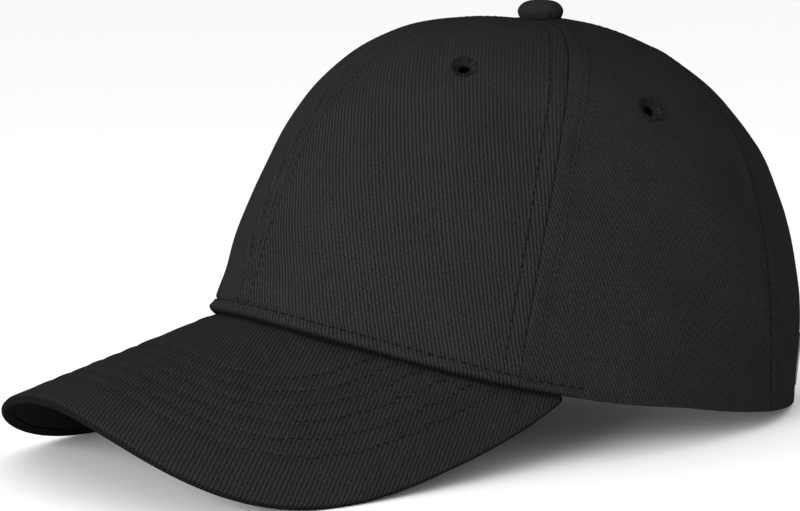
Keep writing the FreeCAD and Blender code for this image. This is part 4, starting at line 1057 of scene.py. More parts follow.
def make_sweatband():
    """Sweatband over its padding strip, with its two rows of stitches."""
    end = ARCH_CORNER - SWEAT_END
    top = SWEAT_HEIGHT
    padding = band("sweatband_padding_strip", "padding_felt", "sweatband_padding", 0.0,
                   PADDING_THICKNESS, PADDING_INSET, top - PADDING_INSET, end - PADDING_END, 0.0, 31)
    sweat = band("sweatband_band", "sweatband_cotton", "sweatband", PADDING_THICKNESS + SWEAT_GAP,
                 SWEAT_THICKNESS, SWEAT_FOOT, top, end, SWEAT_PLUMP, 33)
    tree = surface_tree(sweat)
    frames = []
    for height in (SWEAT_LOW_ROW, top - SWEAT_HIGH_ROW):
        angles = np.linspace(-end + 1.5, end - 1.5, 400)
        share = share_at_height(angles, height)
        inside = crown_layer(angles, share, sweat_depth(angles) + 9.0)
        frames += stitch_frames(to_row(inside), tree)
    make_stitches("sweatband_stitching", frames, seed=7)


def make_binding():
    """Facing tape round the inside of the rear opening."""
    turn, out = np.meshgrid(np.linspace(FACING_END, 180.0 - FACING_END, 150), FACING_LINES, indexing="ij")
    angle, share = arch_place(turn, out)
    coords = np.stack([out, run_lengths(crown_point(angle, share), 0)], -1)
    draw = FACING_DRAW * sum(dip(out, row, FACING_DRAW_WIDTH) for row in ARCH_ROWS)
    strip = ribbon("rear_opening_facing", angle, share, BINDING_DEPTH, BINDING_THICKNESS, coords,
                   bulge=draw)
    adopt(strip, "seam_tape", "rear_arch_binding")
    tree = surface_tree(strip)
    frames = []
    for row in ARCH_ROWS:
        turns = np.linspace(FACING_ROW_END, 180.0 - FACING_ROW_END, 200)
        path = crown_layer(*arch_place(turns, row), np.full(200, INSIDE_REACH))
        frames += stitch_frames(to_row(path), tree)
    make_stitches("rear_facing_stitching", frames, seed=8)


def make_label():
    """Blank woven label hanging from the sweatband's top edge."""
    foot, top, first, last = LABEL_FOOT, LABEL_TOP, LABEL_FIRST, LABEL_LAST
    heights = np.concatenate([[foot, foot + .05, foot + .2], np.linspace(foot + .6, top - .6, 24),
                              [top - .2, top - .05, top]])
    angles = np.concatenate([[first, first + .03, first + .12], np.linspace(first + .4, last - .4, 16),
                             [last - .12, last - .03, last]])
    angle, height = np.meshgrid(angles, heights)
    share = share_at_height(angle, height)
    surface = crown_point(angle, share)
    coords = np.stack([run_lengths(surface, 1), run_lengths(surface, 0)], -1)
    curl = LABEL_CURL * smooth(height, 33.0, 48.0) * (0.4 + 0.6 * smooth(angle, 104.0, 112.0))
    label = ribbon("care_label_blank", angle, share, LABEL_DEPTH + curl, LABEL_THICKNESS, coords, seed=23)
    adopt(label, "label_cloth", "care_label")


# ---------- visor ----------

def visor_outline(turn, inset):
    """Flat pattern of the visor's outer edge at a turn in degrees, moved in by an inset."""
    def at(value):
        """Point of the outer edge itself."""
        across, ahead = superellipse(radians(value), VISOR_POWER)
        length = np.where(ahead > 0, VISOR_REACH + VISOR_WIDTH_LINE, VISOR_REAR_LENGTH)
        return VISOR_HALF_WIDTH * across, length * ahead - VISOR_WIDTH_LINE
    across, forward = at(turn)
    ahead, behind = at(turn + 0.2), at(turn - 0.2)
    run_across, run_forward = ahead[0] - behind[0], ahead[1] - behind[1]
    length = np.hypot(run_across, run_forward)
    return across + inset * run_forward / length, forward - inset * run_across / length


def reaches_out(turn):
    """Whether the visor's outer edge is still outside the crown's rim at a turn."""
    point = visor_place(*visor_outline(turn, 0.0))
    angle = np.degrees(np.arctan2(point[..., 0] / CROWN_HALF_WIDTH, -point[..., 1] / CROWN_FRONT))
    rim_x, rim_y = rim_plan(angle)
    return np.hypot(point[..., 0], point[..., 1]) > np.hypot(rim_x, rim_y)


END_TURN = float(halve(reaches_out, np.array(90.0), np.array(140.0))) - 0.6


def visor_flat(ways, fraction, edge_inset):
    """Flat pattern points of one row, from the seam (fraction 0) to the outer edge (fraction 1)."""
    seam_across, seam_forward = visor_seam(ways * (CORNER - 1.0), VISOR_SEAM_INSET)
    edge_across, edge_forward = visor_outline(ways * END_TURN, edge_inset)
    return (seam_across + (edge_across - seam_across) * fraction,
            seam_forward + (edge_forward - seam_forward) * fraction)


def distance_to(across, forward, line):
    """Distance of flat pattern points from a line of points."""
    flat = np.stack([across, forward], -1).reshape(-1, 1, 2)
    found = [np.linalg.norm(flat[start:start + 4000] - line[None], axis=-1).min(1)
             for start in range(0, len(flat), 4000)]
    return np.concatenate(found).reshape(np.shape(across))


def clear_of_crown(across, forward):
    """Whether flat pattern points lie in front of the crown's rim."""
    point = visor_place(across, forward)
    angle = np.degrees(np.arctan2(point[:, 0] / CROWN_HALF_WIDTH, -point[:, 1] / CROWN_FRONT))
    rim_x, rim_y = rim_plan(angle)
    return np.hypot(point[:, 0], point[:, 1]) > np.hypot(rim_x, rim_y) + ROW_CLEARANCE


def eased(line, reach=9):
    """Line of points with its corners eased by a moving average; its ends stay where they are."""
    step = np.linalg.norm(np.diff(line, axis=0), axis=1)
    run = np.concatenate([[0], np.cumsum(step)])
    even = np.arange(0, run[-1], 1.0)
    line = np.stack([np.interp(even, run, line[:, axis]) for axis in range(2)], -1)
    weights = np.ones(2 * reach + 1) / (2 * reach + 1)
    for _ in range(2):
        before = line[:1] * 2 - line[reach:0:-1]
        after = line[-1:] * 2 - line[-2:-reach - 2:-1]
        padded = np.concatenate([before, line, after])
        line = np.stack([np.convolve(padded[:, axis], weights, "valid") for axis in range(2)], -1)
    return line


def make_row_lines():
    """Flat pattern lines of the visor's stitch rows: offsets of its outer edge that end at the crown."""
    turns = np.linspace(-END_TURN, END_TURN, 1200)
    edge = np.stack(visor_outline(turns, 0.0), -1)
    rows = []
    for number in range(ROW_COUNT):
        inset = FIRST_ROW + ROW_SPACING * number
        across, forward = visor_outline(turns, inset)
        whole = distance_to(across, forward, edge) > inset - ROW_TOLERANCE
        keep = whole & clear_of_crown(across, forward)
        rows.append(eased(np.stack([across[keep], forward[keep]], -1)))
    return rows


def visor_seam_line():
    """Flat pattern line along which the visor meets the crown."""
    return np.stack(visor_seam(np.linspace(-CORNER, CORNER, 400)), -1)


def visor_relief(across, forward, rows):
    """How the cover rises and dips: drawn down at the rows, puckered beside the crown."""
    from_seam = distance_to(across, forward, visor_seam_line())
    from_row = distance_to(across, forward, np.concatenate(rows))
    relief = ROW_RIDGE * smooth(from_row, 0.5, 3.0) * (1 - smooth(from_row, 4.5, 9.0))
    relief -= ROW_DRAW * dip(from_row, 0.0, ROW_DRAW_WIDTH)
    place = np.stack([across, forward, 0 * across], -1)
    relief += sum(waves(place, *wave) for wave in VISOR_WAVES)
    pucker = waves(place, *VISOR_PUCKER_WAVES) * dip(from_seam, SHORT_PUCKER_AT, SHORT_PUCKER_WIDTH)
    return relief + pucker - CROWN_TRENCH * dip(from_seam, 0.0, CROWN_TRENCH_WIDTH)


def visor_grid(ways, edge_inset, rows):
    """Flat pattern grid from the seam to an inset from the outer edge."""
    flats = [visor_flat(ways, fraction, edge_inset) for fraction in np.linspace(0, 1, rows)]
    return np.stack([flat[0] for flat in flats]), np.stack([flat[1] for flat in flats])


def join_borders(outer, inner):
    """Brings the two faces of a sheet together along its borders."""
    middle = (outer + inner) / 2
    border = np.zeros(middle.shape[:2], bool)
    border[0], border[-1], border[:, 0], border[:, -1] = True, True, True, True
    outer[border] = middle[border]
    inner[border] = middle[border]


def top_cover_rows(ways, across, forward, relief):
    """Rows of the top cover, seam to lip: outer face, inner face, place in the flat cloth and painted shade.
    """
    half = VISOR_THICKNESS / 2
    for row in range(len(across)):
        flat = across[row], forward[row]
        yield (visor_place(*flat, -relief[row]), visor_place(*flat, VISOR_COVER - relief[row]),
               np.stack(flat, -1), 1.0)
    last = relief[-1]
    wrapped = 0.0
    for turn in np.linspace(0, 180, WRAP_STEPS + 1)[1:]:
        sine, cosine = math.sin(math.radians(turn)), math.cos(math.radians(turn))
        faces = []
        for radius in (half, half - VISOR_COVER):
            depth = half - radius * cosine - last * (1 + cosine) / 2
            faces.append(visor_place(*visor_flat(ways, 1.0, half - radius * sine), depth))
        wrapped += half * math.radians(180 / WRAP_STEPS)
        # Painted shade: the cover darkens as it turns under the visor's edge.
        painted_shade = 1.0 - EDGE_SHADE * float(smooth(turn, *EDGE_SHADE_TURNS))
        yield (*faces, np.stack(visor_flat(ways, 1.0, half - wrapped), -1), painted_shade)
    middle = VISOR_THICKNESS - VISOR_COVER / 2
    # The lip on the visor's underside carries painted shade.
    for lip in (*LIP_LINES, VISOR_LIP):
        flat = visor_flat(ways, 1.0, half + lip)
        thin = VISOR_COVER / 2 * float(rounding(np.array(VISOR_LIP - lip), 0.3))
        yield (visor_place(*flat, middle + thin), visor_place(*flat, middle - thin),
               np.stack(visor_flat(ways, 1.0, half - wrapped - lip), -1), LIP_PAINTED_SHADE)


def make_top_cover(ways, row_lines):
    """Top cover, wrapped round the visor's edge and ending in a lip on its underside."""
    across, forward = visor_grid(ways, VISOR_THICKNESS / 2, 118)
    relief = visor_relief(across, forward, row_lines)
    rows = zip(*top_cover_rows(ways, across, forward, relief))
    outer, inner, places, painted_shades = (np.stack(grid) for grid in rows)
    outer, inner = outer + VISOR_LIFT, inner + VISOR_LIFT
    join_borders(outer, inner)
    flat_across, flat_forward = places[..., 0], places[..., 1]
    from_seam = distance_to(flat_across, flat_forward, visor_seam_line())
    # Painted shadow where the visor's cloth goes under the crown.
    painted_shade = painted_shades[:, None] - SEAM_SHADE * dip(from_seam, 0.0, SEAM_SHADE_WIDTH)
    cloth = slab("visor_top_cover_cloth", outer, inner, visor_rib_coords(flat_across, flat_forward), painted_shade)
    cover = adopt(cloth, "visor_twill", "visor_top_cover")
    _, area = flat_size(outer)
    pattern_size(flat_across, flat_forward)
    return cover


def make_under_cover(ways, row_lines):
    """Under cover, inside the top cover's lip."""
    across, forward = visor_grid(ways, VISOR_THICKNESS / 2 + VISOR_LIP - UNDER_LAP, 70)
    low = VISOR_THICKNESS - UNDER_RAISE + UNDER_RELIEF * visor_relief(across, forward, row_lines)
    outer = visor_place(across, forward, low) + VISOR_LIFT
    inner = visor_place(across, forward, low - VISOR_COVER + 0.1) + VISOR_LIFT
    join_borders(outer, inner)
    cloth = slab("visor_under_cover_cloth", outer, inner, visor_rib_coords(-across, forward))
    cover = adopt(cloth, "under_visor_twill", "visor_under_cover")
    _, area = flat_size(outer)
    pattern_size(across, forward)
    return cover


def make_board(ways):
    """Stiff plate between the covers."""
    across, forward = visor_grid(ways, VISOR_BOARD_INSET, 24)
    plates = [visor_place(across, forward, depth) + VISOR_LIFT for depth in BOARD_FACES]
    join_borders(*plates)
    plate = slab("visor_board_plate", *plates, np.stack([across, forward], -1))
    adopt(plate, "visor_board", "visor_board")


def make_visor():
    """Both covers, the board between them and the rows of stitches through all three."""
    even = np.linspace(-1, 1, 201)
    bend, crowded = 0.98, 0.35
    ways = np.sin(even * math.pi / 2 * bend) / math.sin(math.pi / 2 * bend)
    ways = crowded * ways + (1 - crowded) * even
    row_lines = make_row_lines()
    top_tree = surface_tree(make_top_cover(ways, row_lines))
    under_tree = surface_tree(make_under_cover(ways, row_lines))
    make_board(ways[::4])
    top_frames, under_frames = [], []
    for line in row_lines:
        path = visor_place(line[:, 0], line[:, 1], -1.0) + VISOR_LIFT
        top_frames += stitch_frames(to_row(path), top_tree, sink=0.06)
        path = visor_place(line[:, 0], line[:, 1], VISOR_THICKNESS + 1.5) + VISOR_LIFT
        under_frames += stitch_frames(to_row(path), under_tree, sink=0.06)
    make_stitches("visor_top_stitching", top_frames, seed=9)
    make_stitches("visor_under_stitching", under_frames, seed=10)


# ---------- button ----------

def button_ring(section, turn):
    """Radius and height of the gathered cloth round the button, not quite round or level."""
    lower = smooth(-section[:, 1], -3.6, 0.0)[:, None]
    gather = 0.16 * lower * (np.sin(turn * 11 + 0.7 * np.sin(turn * 3)) + 0.6 * np.sin(turn * 19 + 1.3))
    wobble = 0.12 * np.sin(turn * 2 + 0.4) + 0.07 * np.sin(turn * 3 + 2.0)
    radius = section[:, :1] + gather + wobble * smooth(section[:, :1], 2.0, 6.0)
    height = section[:, 1:] + 0.10 * np.sin(turn * 2 + 1.0) * smooth(section[:, :1], 1.0, 5.0)
    return radius, height


def make_button():
    """Cloth-covered button: a flattened dome whose cloth is gathered under its rim."""
    line = np.concatenate([[(-1.6, 6.16)], BUTTON_PROFILE, BUTTON_PROFILE[-1:]])
    section = np.array(curve_through(line, 5)[1:] + [BUTTON_PROFILE[-1]])
    rows, samples = len(section), 144
    turn = np.arange(samples) / samples * 2 * math.pi
    radius, height = button_ring(section, turn)
    ring = np.stack([radius * np.cos(turn), radius * np.sin(turn), height + 0 * radius], -1)
    lean = math.radians(-BUTTON_LEAN)
    sine, cosine = math.sin(lean), math.cos(lean)
    turned = np.array([[1, 0, 0], [0, cosine, -sine], [0, sine, cosine]])
    apex = np.array([0, APEX_SETBACK, CROWN_HEIGHT + BUTTON_LIFT])
    points = to_row(ring.reshape(-1, 3) @ turned.T + apex)
    tips = [to_row(turned @ np.array([0, 0, tip]) + apex) for tip in (BUTTON_CREST, BUTTON_BASE)]
    faces = grid_faces(rows, samples, close_columns=True).tolist()
    top, bottom = rows * samples, rows * samples + 1
    for column in range(samples):
        following = (column + 1) % samples
        faces.append([top, following, column])
        faces.append([bottom, (rows - 1) * samples + column, (rows - 1) * samples + following])
    arc = np.concatenate([[0], np.cumsum(np.hypot(*np.diff(section, axis=0).T))]) + section[0, 0]
    flat = np.stack([arc[:, None] * np.cos(turn), arc[:, None] * np.sin(turn)], -1).reshape(-1, 2)
    flat = np.concatenate([flat, [[0, 0], [0, 0]]])
    coords = rib_coords(flat[:, 0], flat[:, 1], 75.0, RIB_SHOW["button"])
    button = make_mesh("button_cover_cloth", np.concatenate([points, tips]), faces, coords)
    adopt(button, "crown_twill", "button_cover")


# ---------- rear closure ----------

def closure_frame():
    """Centre, rear and up directions of the strap's arc in the crown frame."""
    tilt = math.radians(CLOSURE_TILT)
    up = np.array([0, math.sin(tilt), math.cos(tilt)])
    back = np.array([0, math.cos(tilt), -math.sin(tilt)])
    rear = np.array([0, CROWN_BACK, float(rim_height(180.0))])
    return rear - back * CLOSURE_RADIUS + up * STRAP_RISE, back, up


def closure_point(angle, radius, height):
    """Point of the closure: angle from the centre back to the left, radius and height up the strap."""
    centre, back, up = closure_frame()
    angle, radius, height = np.broadcast_arrays(radians(angle), radius, height)
    side = np.array([1.0, 0, 0])
    return (centre + side * (radius * np.sin(angle))[..., None]
            + back * (radius * np.cos(angle))[..., None] + up * height[..., None])


def tube(name, rings, coords):
    """Closed piece from rings of points, capped at both ends."""
    rows, columns = rings.shape[:2]
    faces = grid_faces(rows, columns, close_columns=True).tolist()
    faces.append(list(range(columns)))
    faces.append(list(range((rows - 1) * columns, rows * columns))[::-1])
    return make_mesh(name, to_row(rings), faces, coords)


def strip_section(width, thickness, count):
    """Rounded flat cross-section as offsets (outward, up), anticlockwise."""
    half = thickness / 2
    turns = np.radians(np.linspace(-90, 90, 9))
    low = np.stack([half * -np.sin(turns), half - half * np.cos(turns)], -1)
    ups = np.linspace(half, width - half, count)[1:-1]
    inner = np.stack([np.full(len(ups), -half), ups], -1)
    high = np.stack([half * np.sin(turns), width - half + half * np.cos(turns)], -1)
    return np.concatenate([low, inner, high, np.stack([np.full(len(ups), half), ups[::-1]], -1)])


def make_strap():
    """Folded twill strap with a row of stitches along each edge."""
    angles = np.concatenate([[-STRAP_HALF_ANGLE, -STRAP_HALF_ANGLE + 0.2],
                             np.linspace(-STRAP_HALF_ANGLE + 0.5, STRAP_HALF_ANGLE - 0.5, 170),
                             [STRAP_HALF_ANGLE - 0.2, STRAP_HALF_ANGLE]])
    section = strip_section(STRAP_WIDTH, STRAP_THICKNESS, 33)
    middle = CLOSURE_RADIUS - STRAP_DEPTH - STRAP_THICKNESS / 2
    end = np.minimum(angles + STRAP_HALF_ANGLE, STRAP_HALF_ANGLE - angles) * math.radians(middle)
    slim = (0.35 + 0.65 * rounding(end, 0.6))[:, None]
    stitched = sum(dip(section[:, 1], row, STRAP_DRAW_WIDTH) for row in (STRAP_ROW, STRAP_WIDTH - STRAP_ROW))
    out = section[None, :, 0] * slim * (1 - STRAP_DRAW * stitched)
    radius = middle + out
    rings = closure_point(angles[:, None], radius, section[None, :, 1])
    along = radians(angles)[:, None] * middle + 0 * out
    coords = rib_coords(along, section[None, :, 1] + 0 * out, STRAP_RIB_ANGLE)
    strap = adopt(tube("closure_strap_cloth", rings, coords), "strap_twill", "closure_strap", body="strap")
    tree = surface_tree(strap)
    frames = []
    for height in (STRAP_ROW, STRAP_WIDTH - STRAP_ROW):
        for level in (middle + STRAP_REACH, middle - STRAP_REACH):
            path = closure_point(np.linspace(-45.5, 45.5, 200), level, height)
            frames += stitch_frames(to_row(path), tree)
    for end_angle in STRAP_ENDS:
        for level in (middle + STRAP_REACH, middle - STRAP_REACH):
            path = closure_point(end_angle, level, np.linspace(2.6, STRAP_WIDTH - 2.6, 40))
            frames += stitch_frames(to_row(path), tree)
    make_stitches("closure_strap_stitching", frames, body="strap", seed=14)


def make_tab():
    """Short loop of cloth folded round the buckle's bar and sewn to the left back panel."""
    outer = CLOSURE_RADIUS - TAB_DEPTH - TAB_THICKNESS / 2
    inner = outer - TAB_DROP
    fold_radius = TAB_DROP / 2
    centre = (outer + inner) / 2
    fold_angle = TAB_START + math.degrees(fold_radius / centre) + 0.1
    path = [(angle, outer) for angle in np.linspace(TAB_END, fold_angle, 40)]
    for turn in np.linspace(0, 180, 17)[1:-1]:
        sine, cosine = math.sin(math.radians(turn)), math.cos(math.radians(turn))
        path.append((fold_angle - math.degrees(fold_radius * sine / centre), centre + fold_radius * cosine))
    for part in np.linspace(0, 1, 16):
        angle = fold_angle + (TAB_SEWN - fold_angle) * part
        path.append((angle, inner + (TAB_DROP - TAB_THICKNESS - 0.1) * smooth(part, 0.45, 1.0)))
    path = np.array(path)
    line = closure_point(path[:, 0], path[:, 1], 0.0)
    along = unit(np.gradient(line, axis=0))
    _, _, up = closure_frame()
    outward = unit(np.cross(along, up))
    section = strip_section(STRAP_WIDTH - 2 * TAB_MARGIN, TAB_THICKNESS, 13)
    rings = (line[:, None] + outward[:, None] * section[None, :, :1]
             + up * (section[None, :, 1:] + TAB_MARGIN))
    run = run_lengths(line, 0)
    cloth_along, cloth_up = np.broadcast_arrays(run[:, None], section[None, :, 1])
    coords = rib_coords(cloth_along, cloth_up, STRAP_RIB_ANGLE)
    tab = adopt(tube("buckle_tab_cloth", rings, coords), "strap_twill", "buckle_tab")
    tree = surface_tree(tab)
    frames = []
    heights = np.linspace(TAB_MARGIN + 1.2, STRAP_WIDTH - TAB_MARGIN - 1.2, 40)
    for angle in TAB_ROWS:
        frames += stitch_frames(to_row(closure_point(angle, inner - STRAP_REACH, heights)), tree)
    make_stitches("buckle_tab_stitching", frames, seed=15)


METAL_EDGE, METAL_EDGE_ANGLE, METAL_WELD = 0.25, 35.0, 1e-6   # millimetres, degrees, metres


def soften_metal(*names):
    """Rounded edges on the stamped metal parts; their meshes stay as they are."""
    for name in names:
        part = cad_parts[name]
        weld = part.modifiers.new("weld", "WELD")
        weld.merge_threshold = METAL_WELD
        bevel = part.modifiers.new("edges", "BEVEL")
        bevel.width = METAL_EDGE * MM
        bevel.segments = 3
        bevel.limit_method = "ANGLE"
        bevel.angle_limit = math.radians(METAL_EDGE_ANGLE)
        bevel.harden_normals = True


# ---------- materials ----------

NOISE_ROUGHNESS = 0.55
TWILL_DEPTH = 0.00022    # metres
# How much each pattern adds to a twill's shade.
RIB_SHADE, FLOAT_SHADE, FLECK_SHADE = 0.39, 0.46, 3.0
FINE_SHADE, FUZZ_SHADE, PATCH_SHADE = 0.6, 0.32, 0.12
RIB_MEAN, SHADE_MEAN, FLECK_START = 0.34, 0.38, 0.64


class Nodes:
    """A material's node tree, with short calls for its nodes."""

    def __init__(self, name):
        self.material = bpy.data.materials.new(name)
        self.material.use_nodes = True
        self.tree = self.material.node_tree
        self.shader = self.tree.nodes["Principled BSDF"]

    def node(self, kind, **settings):
        """New node of a kind, with its settings."""
        made = self.tree.nodes.new(kind)
        for key, setting in settings.items():
            setattr(made, key, setting)
        return made

    def cloth_place(self):
        """Place in the flat cloth, as a vector and as its three numbers."""
        cloth = self.node("ShaderNodeAttribute", attribute_name="cloth").outputs["Vector"]
        parts = self.node("ShaderNodeSeparateXYZ")
        self.link(cloth, parts.inputs[0])
        return cloth, parts.outputs

    def link(self, start, end):
        """Joins an output to an input."""
        self.tree.links.new(start, end)

    def math(self, operation, first, second=None, third=None):
        """Result of a calculation on outputs and plain numbers."""
        made = self.node("ShaderNodeMath", operation=operation)
        for socket, source in zip(made.inputs, (first, second, third)):
            if source is None:
                continue
            if isinstance(source, (int, float)):
                socket.default_value = source
            else:
                self.link(source, socket)
        return made.outputs[0]

    def noise(self, vector, scale, detail):
        """Noise pattern over a place, 0 to 1."""
        made = self.node("ShaderNodeTexNoise")
        made.inputs["Scale"].default_value = scale
        made.inputs["Detail"].default_value = detail
        made.inputs["Roughness"].default_value = NOISE_ROUGHNESS
        self.link(vector, made.inputs["Vector"])
        return made.outputs[0]

    def ramp(self, factor, dark, light):
        """Colour between a dark and a light one."""
        made = self.node("ShaderNodeMix", data_type="RGBA")
        made.inputs["A"].default_value = (*dark, 1.0)
        made.inputs["B"].default_value = (*light, 1.0)
        self.link(factor, made.inputs["Factor"])
        return made.outputs["Result"]

    def finish(self, colour, roughness, height, distance, strength):
        """Material with its colour, its roughness where it varies, and bumps of a height in metres."""
        self.link(colour, self.shader.inputs["Base Color"])
        if roughness is not None:
            self.link(roughness, self.shader.inputs["Roughness"])
        bump = self.node("ShaderNodeBump")
        bump.inputs["Distance"].default_value = distance
        bump.inputs["Strength"].default_value = strength
        self.link(height, bump.inputs["Height"])
        self.link(bump.outputs[0], self.shader.inputs["Normal"])
        return self.material


def twill(name, valley, crest):
    """Cotton twill: slanting ribs made of short yarn floats, with slubs and faint shading."""
    made = Nodes(name)
    cloth, (across, along, show) = made.cloth_place()
    slow = made.noise(cloth, 0.16, 2.0)
    patchy = made.noise(cloth, 0.045, 3.0)
    fine = made.noise(cloth, 1.5, 3.0)
    fuzz = made.noise(cloth, 4.5, 2.0)
    bend = made.math("ADD", made.math("MULTIPLY", slow, 2.4), made.math("MULTIPLY", fine, 2.4))
    phase = made.math("MULTIPLY_ADD", across, 2 * math.pi / RIB_PITCH, bend)
    rib = made.math("MULTIPLY_ADD", made.math("SINE", phase), 0.5, 0.5)
    stagger = made.math("MULTIPLY_ADD", across, math.pi / RIB_PITCH, made.math("MULTIPLY", fine, 9.0))
    float_phase = made.math("MULTIPLY_ADD", along, 2 * math.pi / FLOAT_PITCH, stagger)
    floats = made.math("MULTIPLY_ADD", made.math("SINE", float_phase), 0.5, 0.5)
    height = made.math("MULTIPLY", rib, made.math("MULTIPLY_ADD", floats, 0.45, 0.55))
    height = made.math("MULTIPLY_ADD", fuzz, 0.35, height)
    shade = made.math("MULTIPLY", rib, made.math("MULTIPLY_ADD", floats, FLOAT_SHADE, RIB_SHADE))
    flecks = made.math("MAXIMUM", made.math("ADD", made.noise(cloth, 2.3, 1.0), -FLECK_START), 0.0)
    shade = made.math("MULTIPLY_ADD", flecks, FLECK_SHADE, shade)
    shade = made.math("MULTIPLY_ADD", made.math("ADD", shade, -RIB_MEAN), show, SHADE_MEAN)
    for pattern, weight in ((fine, FINE_SHADE), (fuzz, FUZZ_SHADE), (patchy, PATCH_SHADE)):
        shade = made.math("MULTIPLY_ADD", pattern, weight, made.math("ADD", shade, -weight / 2))
    # The cloth's colour is darkened by the painted shade carried on its mesh.
    painted_shade = made.node("ShaderNodeAttribute", attribute_name="painted_shade").outputs["Fac"]
    colour = made.ramp(made.math("MULTIPLY", shade, painted_shade), valley, crest)
    roughness = made.math("MULTIPLY_ADD", fine, 0.14, 0.85)
    made.shader.inputs["Specular IOR Level"].default_value = 0.0
    made.shader.inputs["Sheen Weight"].default_value = 0.004
    made.shader.inputs["Sheen Roughness"].default_value = 0.5
    return made.finish(colour, roughness, height, TWILL_DEPTH, 0.9)


def woven(name, dark, light, pitch, depth=0.00012, roughness=0.85, sheen=0.15):
    """Plain weave of crossing threads, for tape, buckram, label and brushed cotton."""
    made = Nodes(name)
    cloth, parts = made.cloth_place()
    fine = made.noise(cloth, 1.4, 3.0)
    pace = 2 * math.pi / pitch
    bend = made.math("MULTIPLY", fine, 1.2)
    warp = made.math("SINE", made.math("MULTIPLY_ADD", parts[0], pace, bend))
    weft = made.math("SINE", made.math("MULTIPLY_ADD", parts[1], pace, bend))
    cross = made.math("MULTIPLY", warp, weft)
    height = made.math("MULTIPLY_ADD", cross, 0.5, 0.5)
    shade = made.math("MULTIPLY_ADD", fine, 0.8, made.math("MULTIPLY_ADD", height, 0.5, -0.2))
    colour = made.ramp(shade, dark, light)
    made.shader.inputs["Roughness"].default_value = roughness
    made.shader.inputs["Sheen Weight"].default_value = sheen
    made.shader.inputs["Specular IOR Level"].default_value = 0.25
    return made.finish(colour, None, made.math("MULTIPLY_ADD", fine, 0.4, height), depth, 0.8)


def thread(name, dark, light):
    """Twisted sewing and embroidery thread with a soft gloss."""
    made = Nodes(name)
    place = made.node("ShaderNodeTexCoord").outputs["Object"]
    strand = made.noise(place, 2600.0, 2.0)
    slow = made.noise(place, 160.0, 2.0)
    shade = made.math("MULTIPLY_ADD", slow, 0.5, made.math("MULTIPLY", strand, 0.5))
    colour = made.ramp(shade, dark, light)
    made.shader.inputs["Roughness"].default_value = 0.7
    made.shader.inputs["Specular IOR Level"].default_value = 0.02
    return made.finish(colour, None, strand, 0.00008, 0.7)


def satin(name, dark, light):
    """Embroidered satin threads lying side by side, dark between the threads."""
    made = Nodes(name)
    cloth, parts = made.cloth_place()
    uneven = made.noise(cloth, 1.3, 2.0)
    turn = made.math("MULTIPLY_ADD", parts[1], math.pi, made.math("MULTIPLY", uneven, 0.8))
    strand = made.math("ABSOLUTE", made.math("SINE", turn))
    shade = made.math("MULTIPLY", strand, made.math("MULTIPLY_ADD", uneven, 1.6, -0.3))
    made.shader.inputs["Roughness"].default_value = 0.75
    made.shader.inputs["Specular IOR Level"].default_value = 0.0
    return made.finish(made.ramp(shade, dark, light), None, strand, 0.0001, 0.7)


def metal(name, dark, light, roughness_low, roughness_high, stretch):
    """Stamped or drawn metal with brushing, light wear and duller patches."""
    made = Nodes(name)
    place = made.node("ShaderNodeTexCoord").outputs["Object"]
    mapping = made.node("ShaderNodeMapping")
    mapping.inputs["Scale"].default_value = stretch
    made.link(place, mapping.inputs[0])
    brushed = made.noise(mapping.outputs[0], 900.0, 4.0)
    patches = made.noise(place, 220.0, 4.0)
    worn = made.math("MULTIPLY_ADD", brushed, 0.4, made.math("MULTIPLY", patches, 0.7))
    colour = made.ramp(worn, dark, light)
    rough = made.math("MULTIPLY_ADD", worn, roughness_high - roughness_low, roughness_low)
    made.shader.inputs["Metallic"].default_value = 1.0
    return made.finish(colour, rough, brushed, 0.00002, 0.5)


def moulded(name, dark, light):
    """Matt moulded sheet with a fine leathery grain."""
    made = Nodes(name)
    place = made.node("ShaderNodeTexCoord").outputs["Object"]
    grain = made.noise(place, 900.0, 4.0)
    colour = made.ramp(made.noise(place, 60.0, 3.0), dark, light)
    rough = made.math("MULTIPLY_ADD", grain, 0.2, 0.5)
    return made.finish(colour, rough, grain, 0.00006, 0.6)


def grey(value, warm=0.0):
    """Grey colour, redder when it is warm."""
    return (value * (1 + warm), value, value * (1 - warm * 0.6))


THREADS = {
    "sewing_thread": thread("sewing_thread", grey(0.0015), grey(0.008)),
    "worn_thread": thread("worn_thread", grey(0.0035), grey(0.012)),
}
MATERIALS = {
    "crown_twill": twill("crown_twill", grey(0.002), grey(0.0358)),
    # Painted shade: the visor's twill is a darker copy of the crown's.
    "visor_twill": twill("visor_twill", grey(0.002), grey(0.0315)),
    # Painted shade: the under cover's twill is a still darker copy, for the shade under the visor.
    "under_visor_twill": twill("under_visor_twill", grey(0.002), grey(0.018)),
    "strap_twill": twill("strap_twill", grey(0.003), grey(0.034)),
    "eyelet_thread": satin("eyelet_thread", grey(0.002), grey(0.026)),
    "seam_tape": woven("seam_tape", grey(0.008), grey(0.030), 0.7),
    "buckram": woven("buckram", grey(0.05), grey(0.15), 1.1, 0.0003),
    "sweatband_cotton": woven("sweatband_cotton", grey(0.009), grey(0.032), 0.5, 0.0001, 0.9, 0.35),
    "padding_felt": woven("padding_felt", grey(0.14), grey(0.24), 2.2, 0.0003, 0.95, 0.3),
    "visor_board": moulded("visor_board", grey(0.035), grey(0.06)),
    "button_tin": metal("button_tin", grey(0.42), grey(0.62), 0.25, 0.5, (1, 1, 1)),
    "buckle_metal": metal("buckle_metal", grey(0.06, 0.08), grey(0.17, 0.08), 0.26, 0.5, (1, 12, 12)),
    "pin_steel": metal("pin_steel", grey(0.3), grey(0.5), 0.2, 0.4, (1, 1, 12)),
    "label_cloth": woven("label_cloth", grey(0.45), grey(0.62), 0.4, 0.00006, 0.8, 0.1),
}
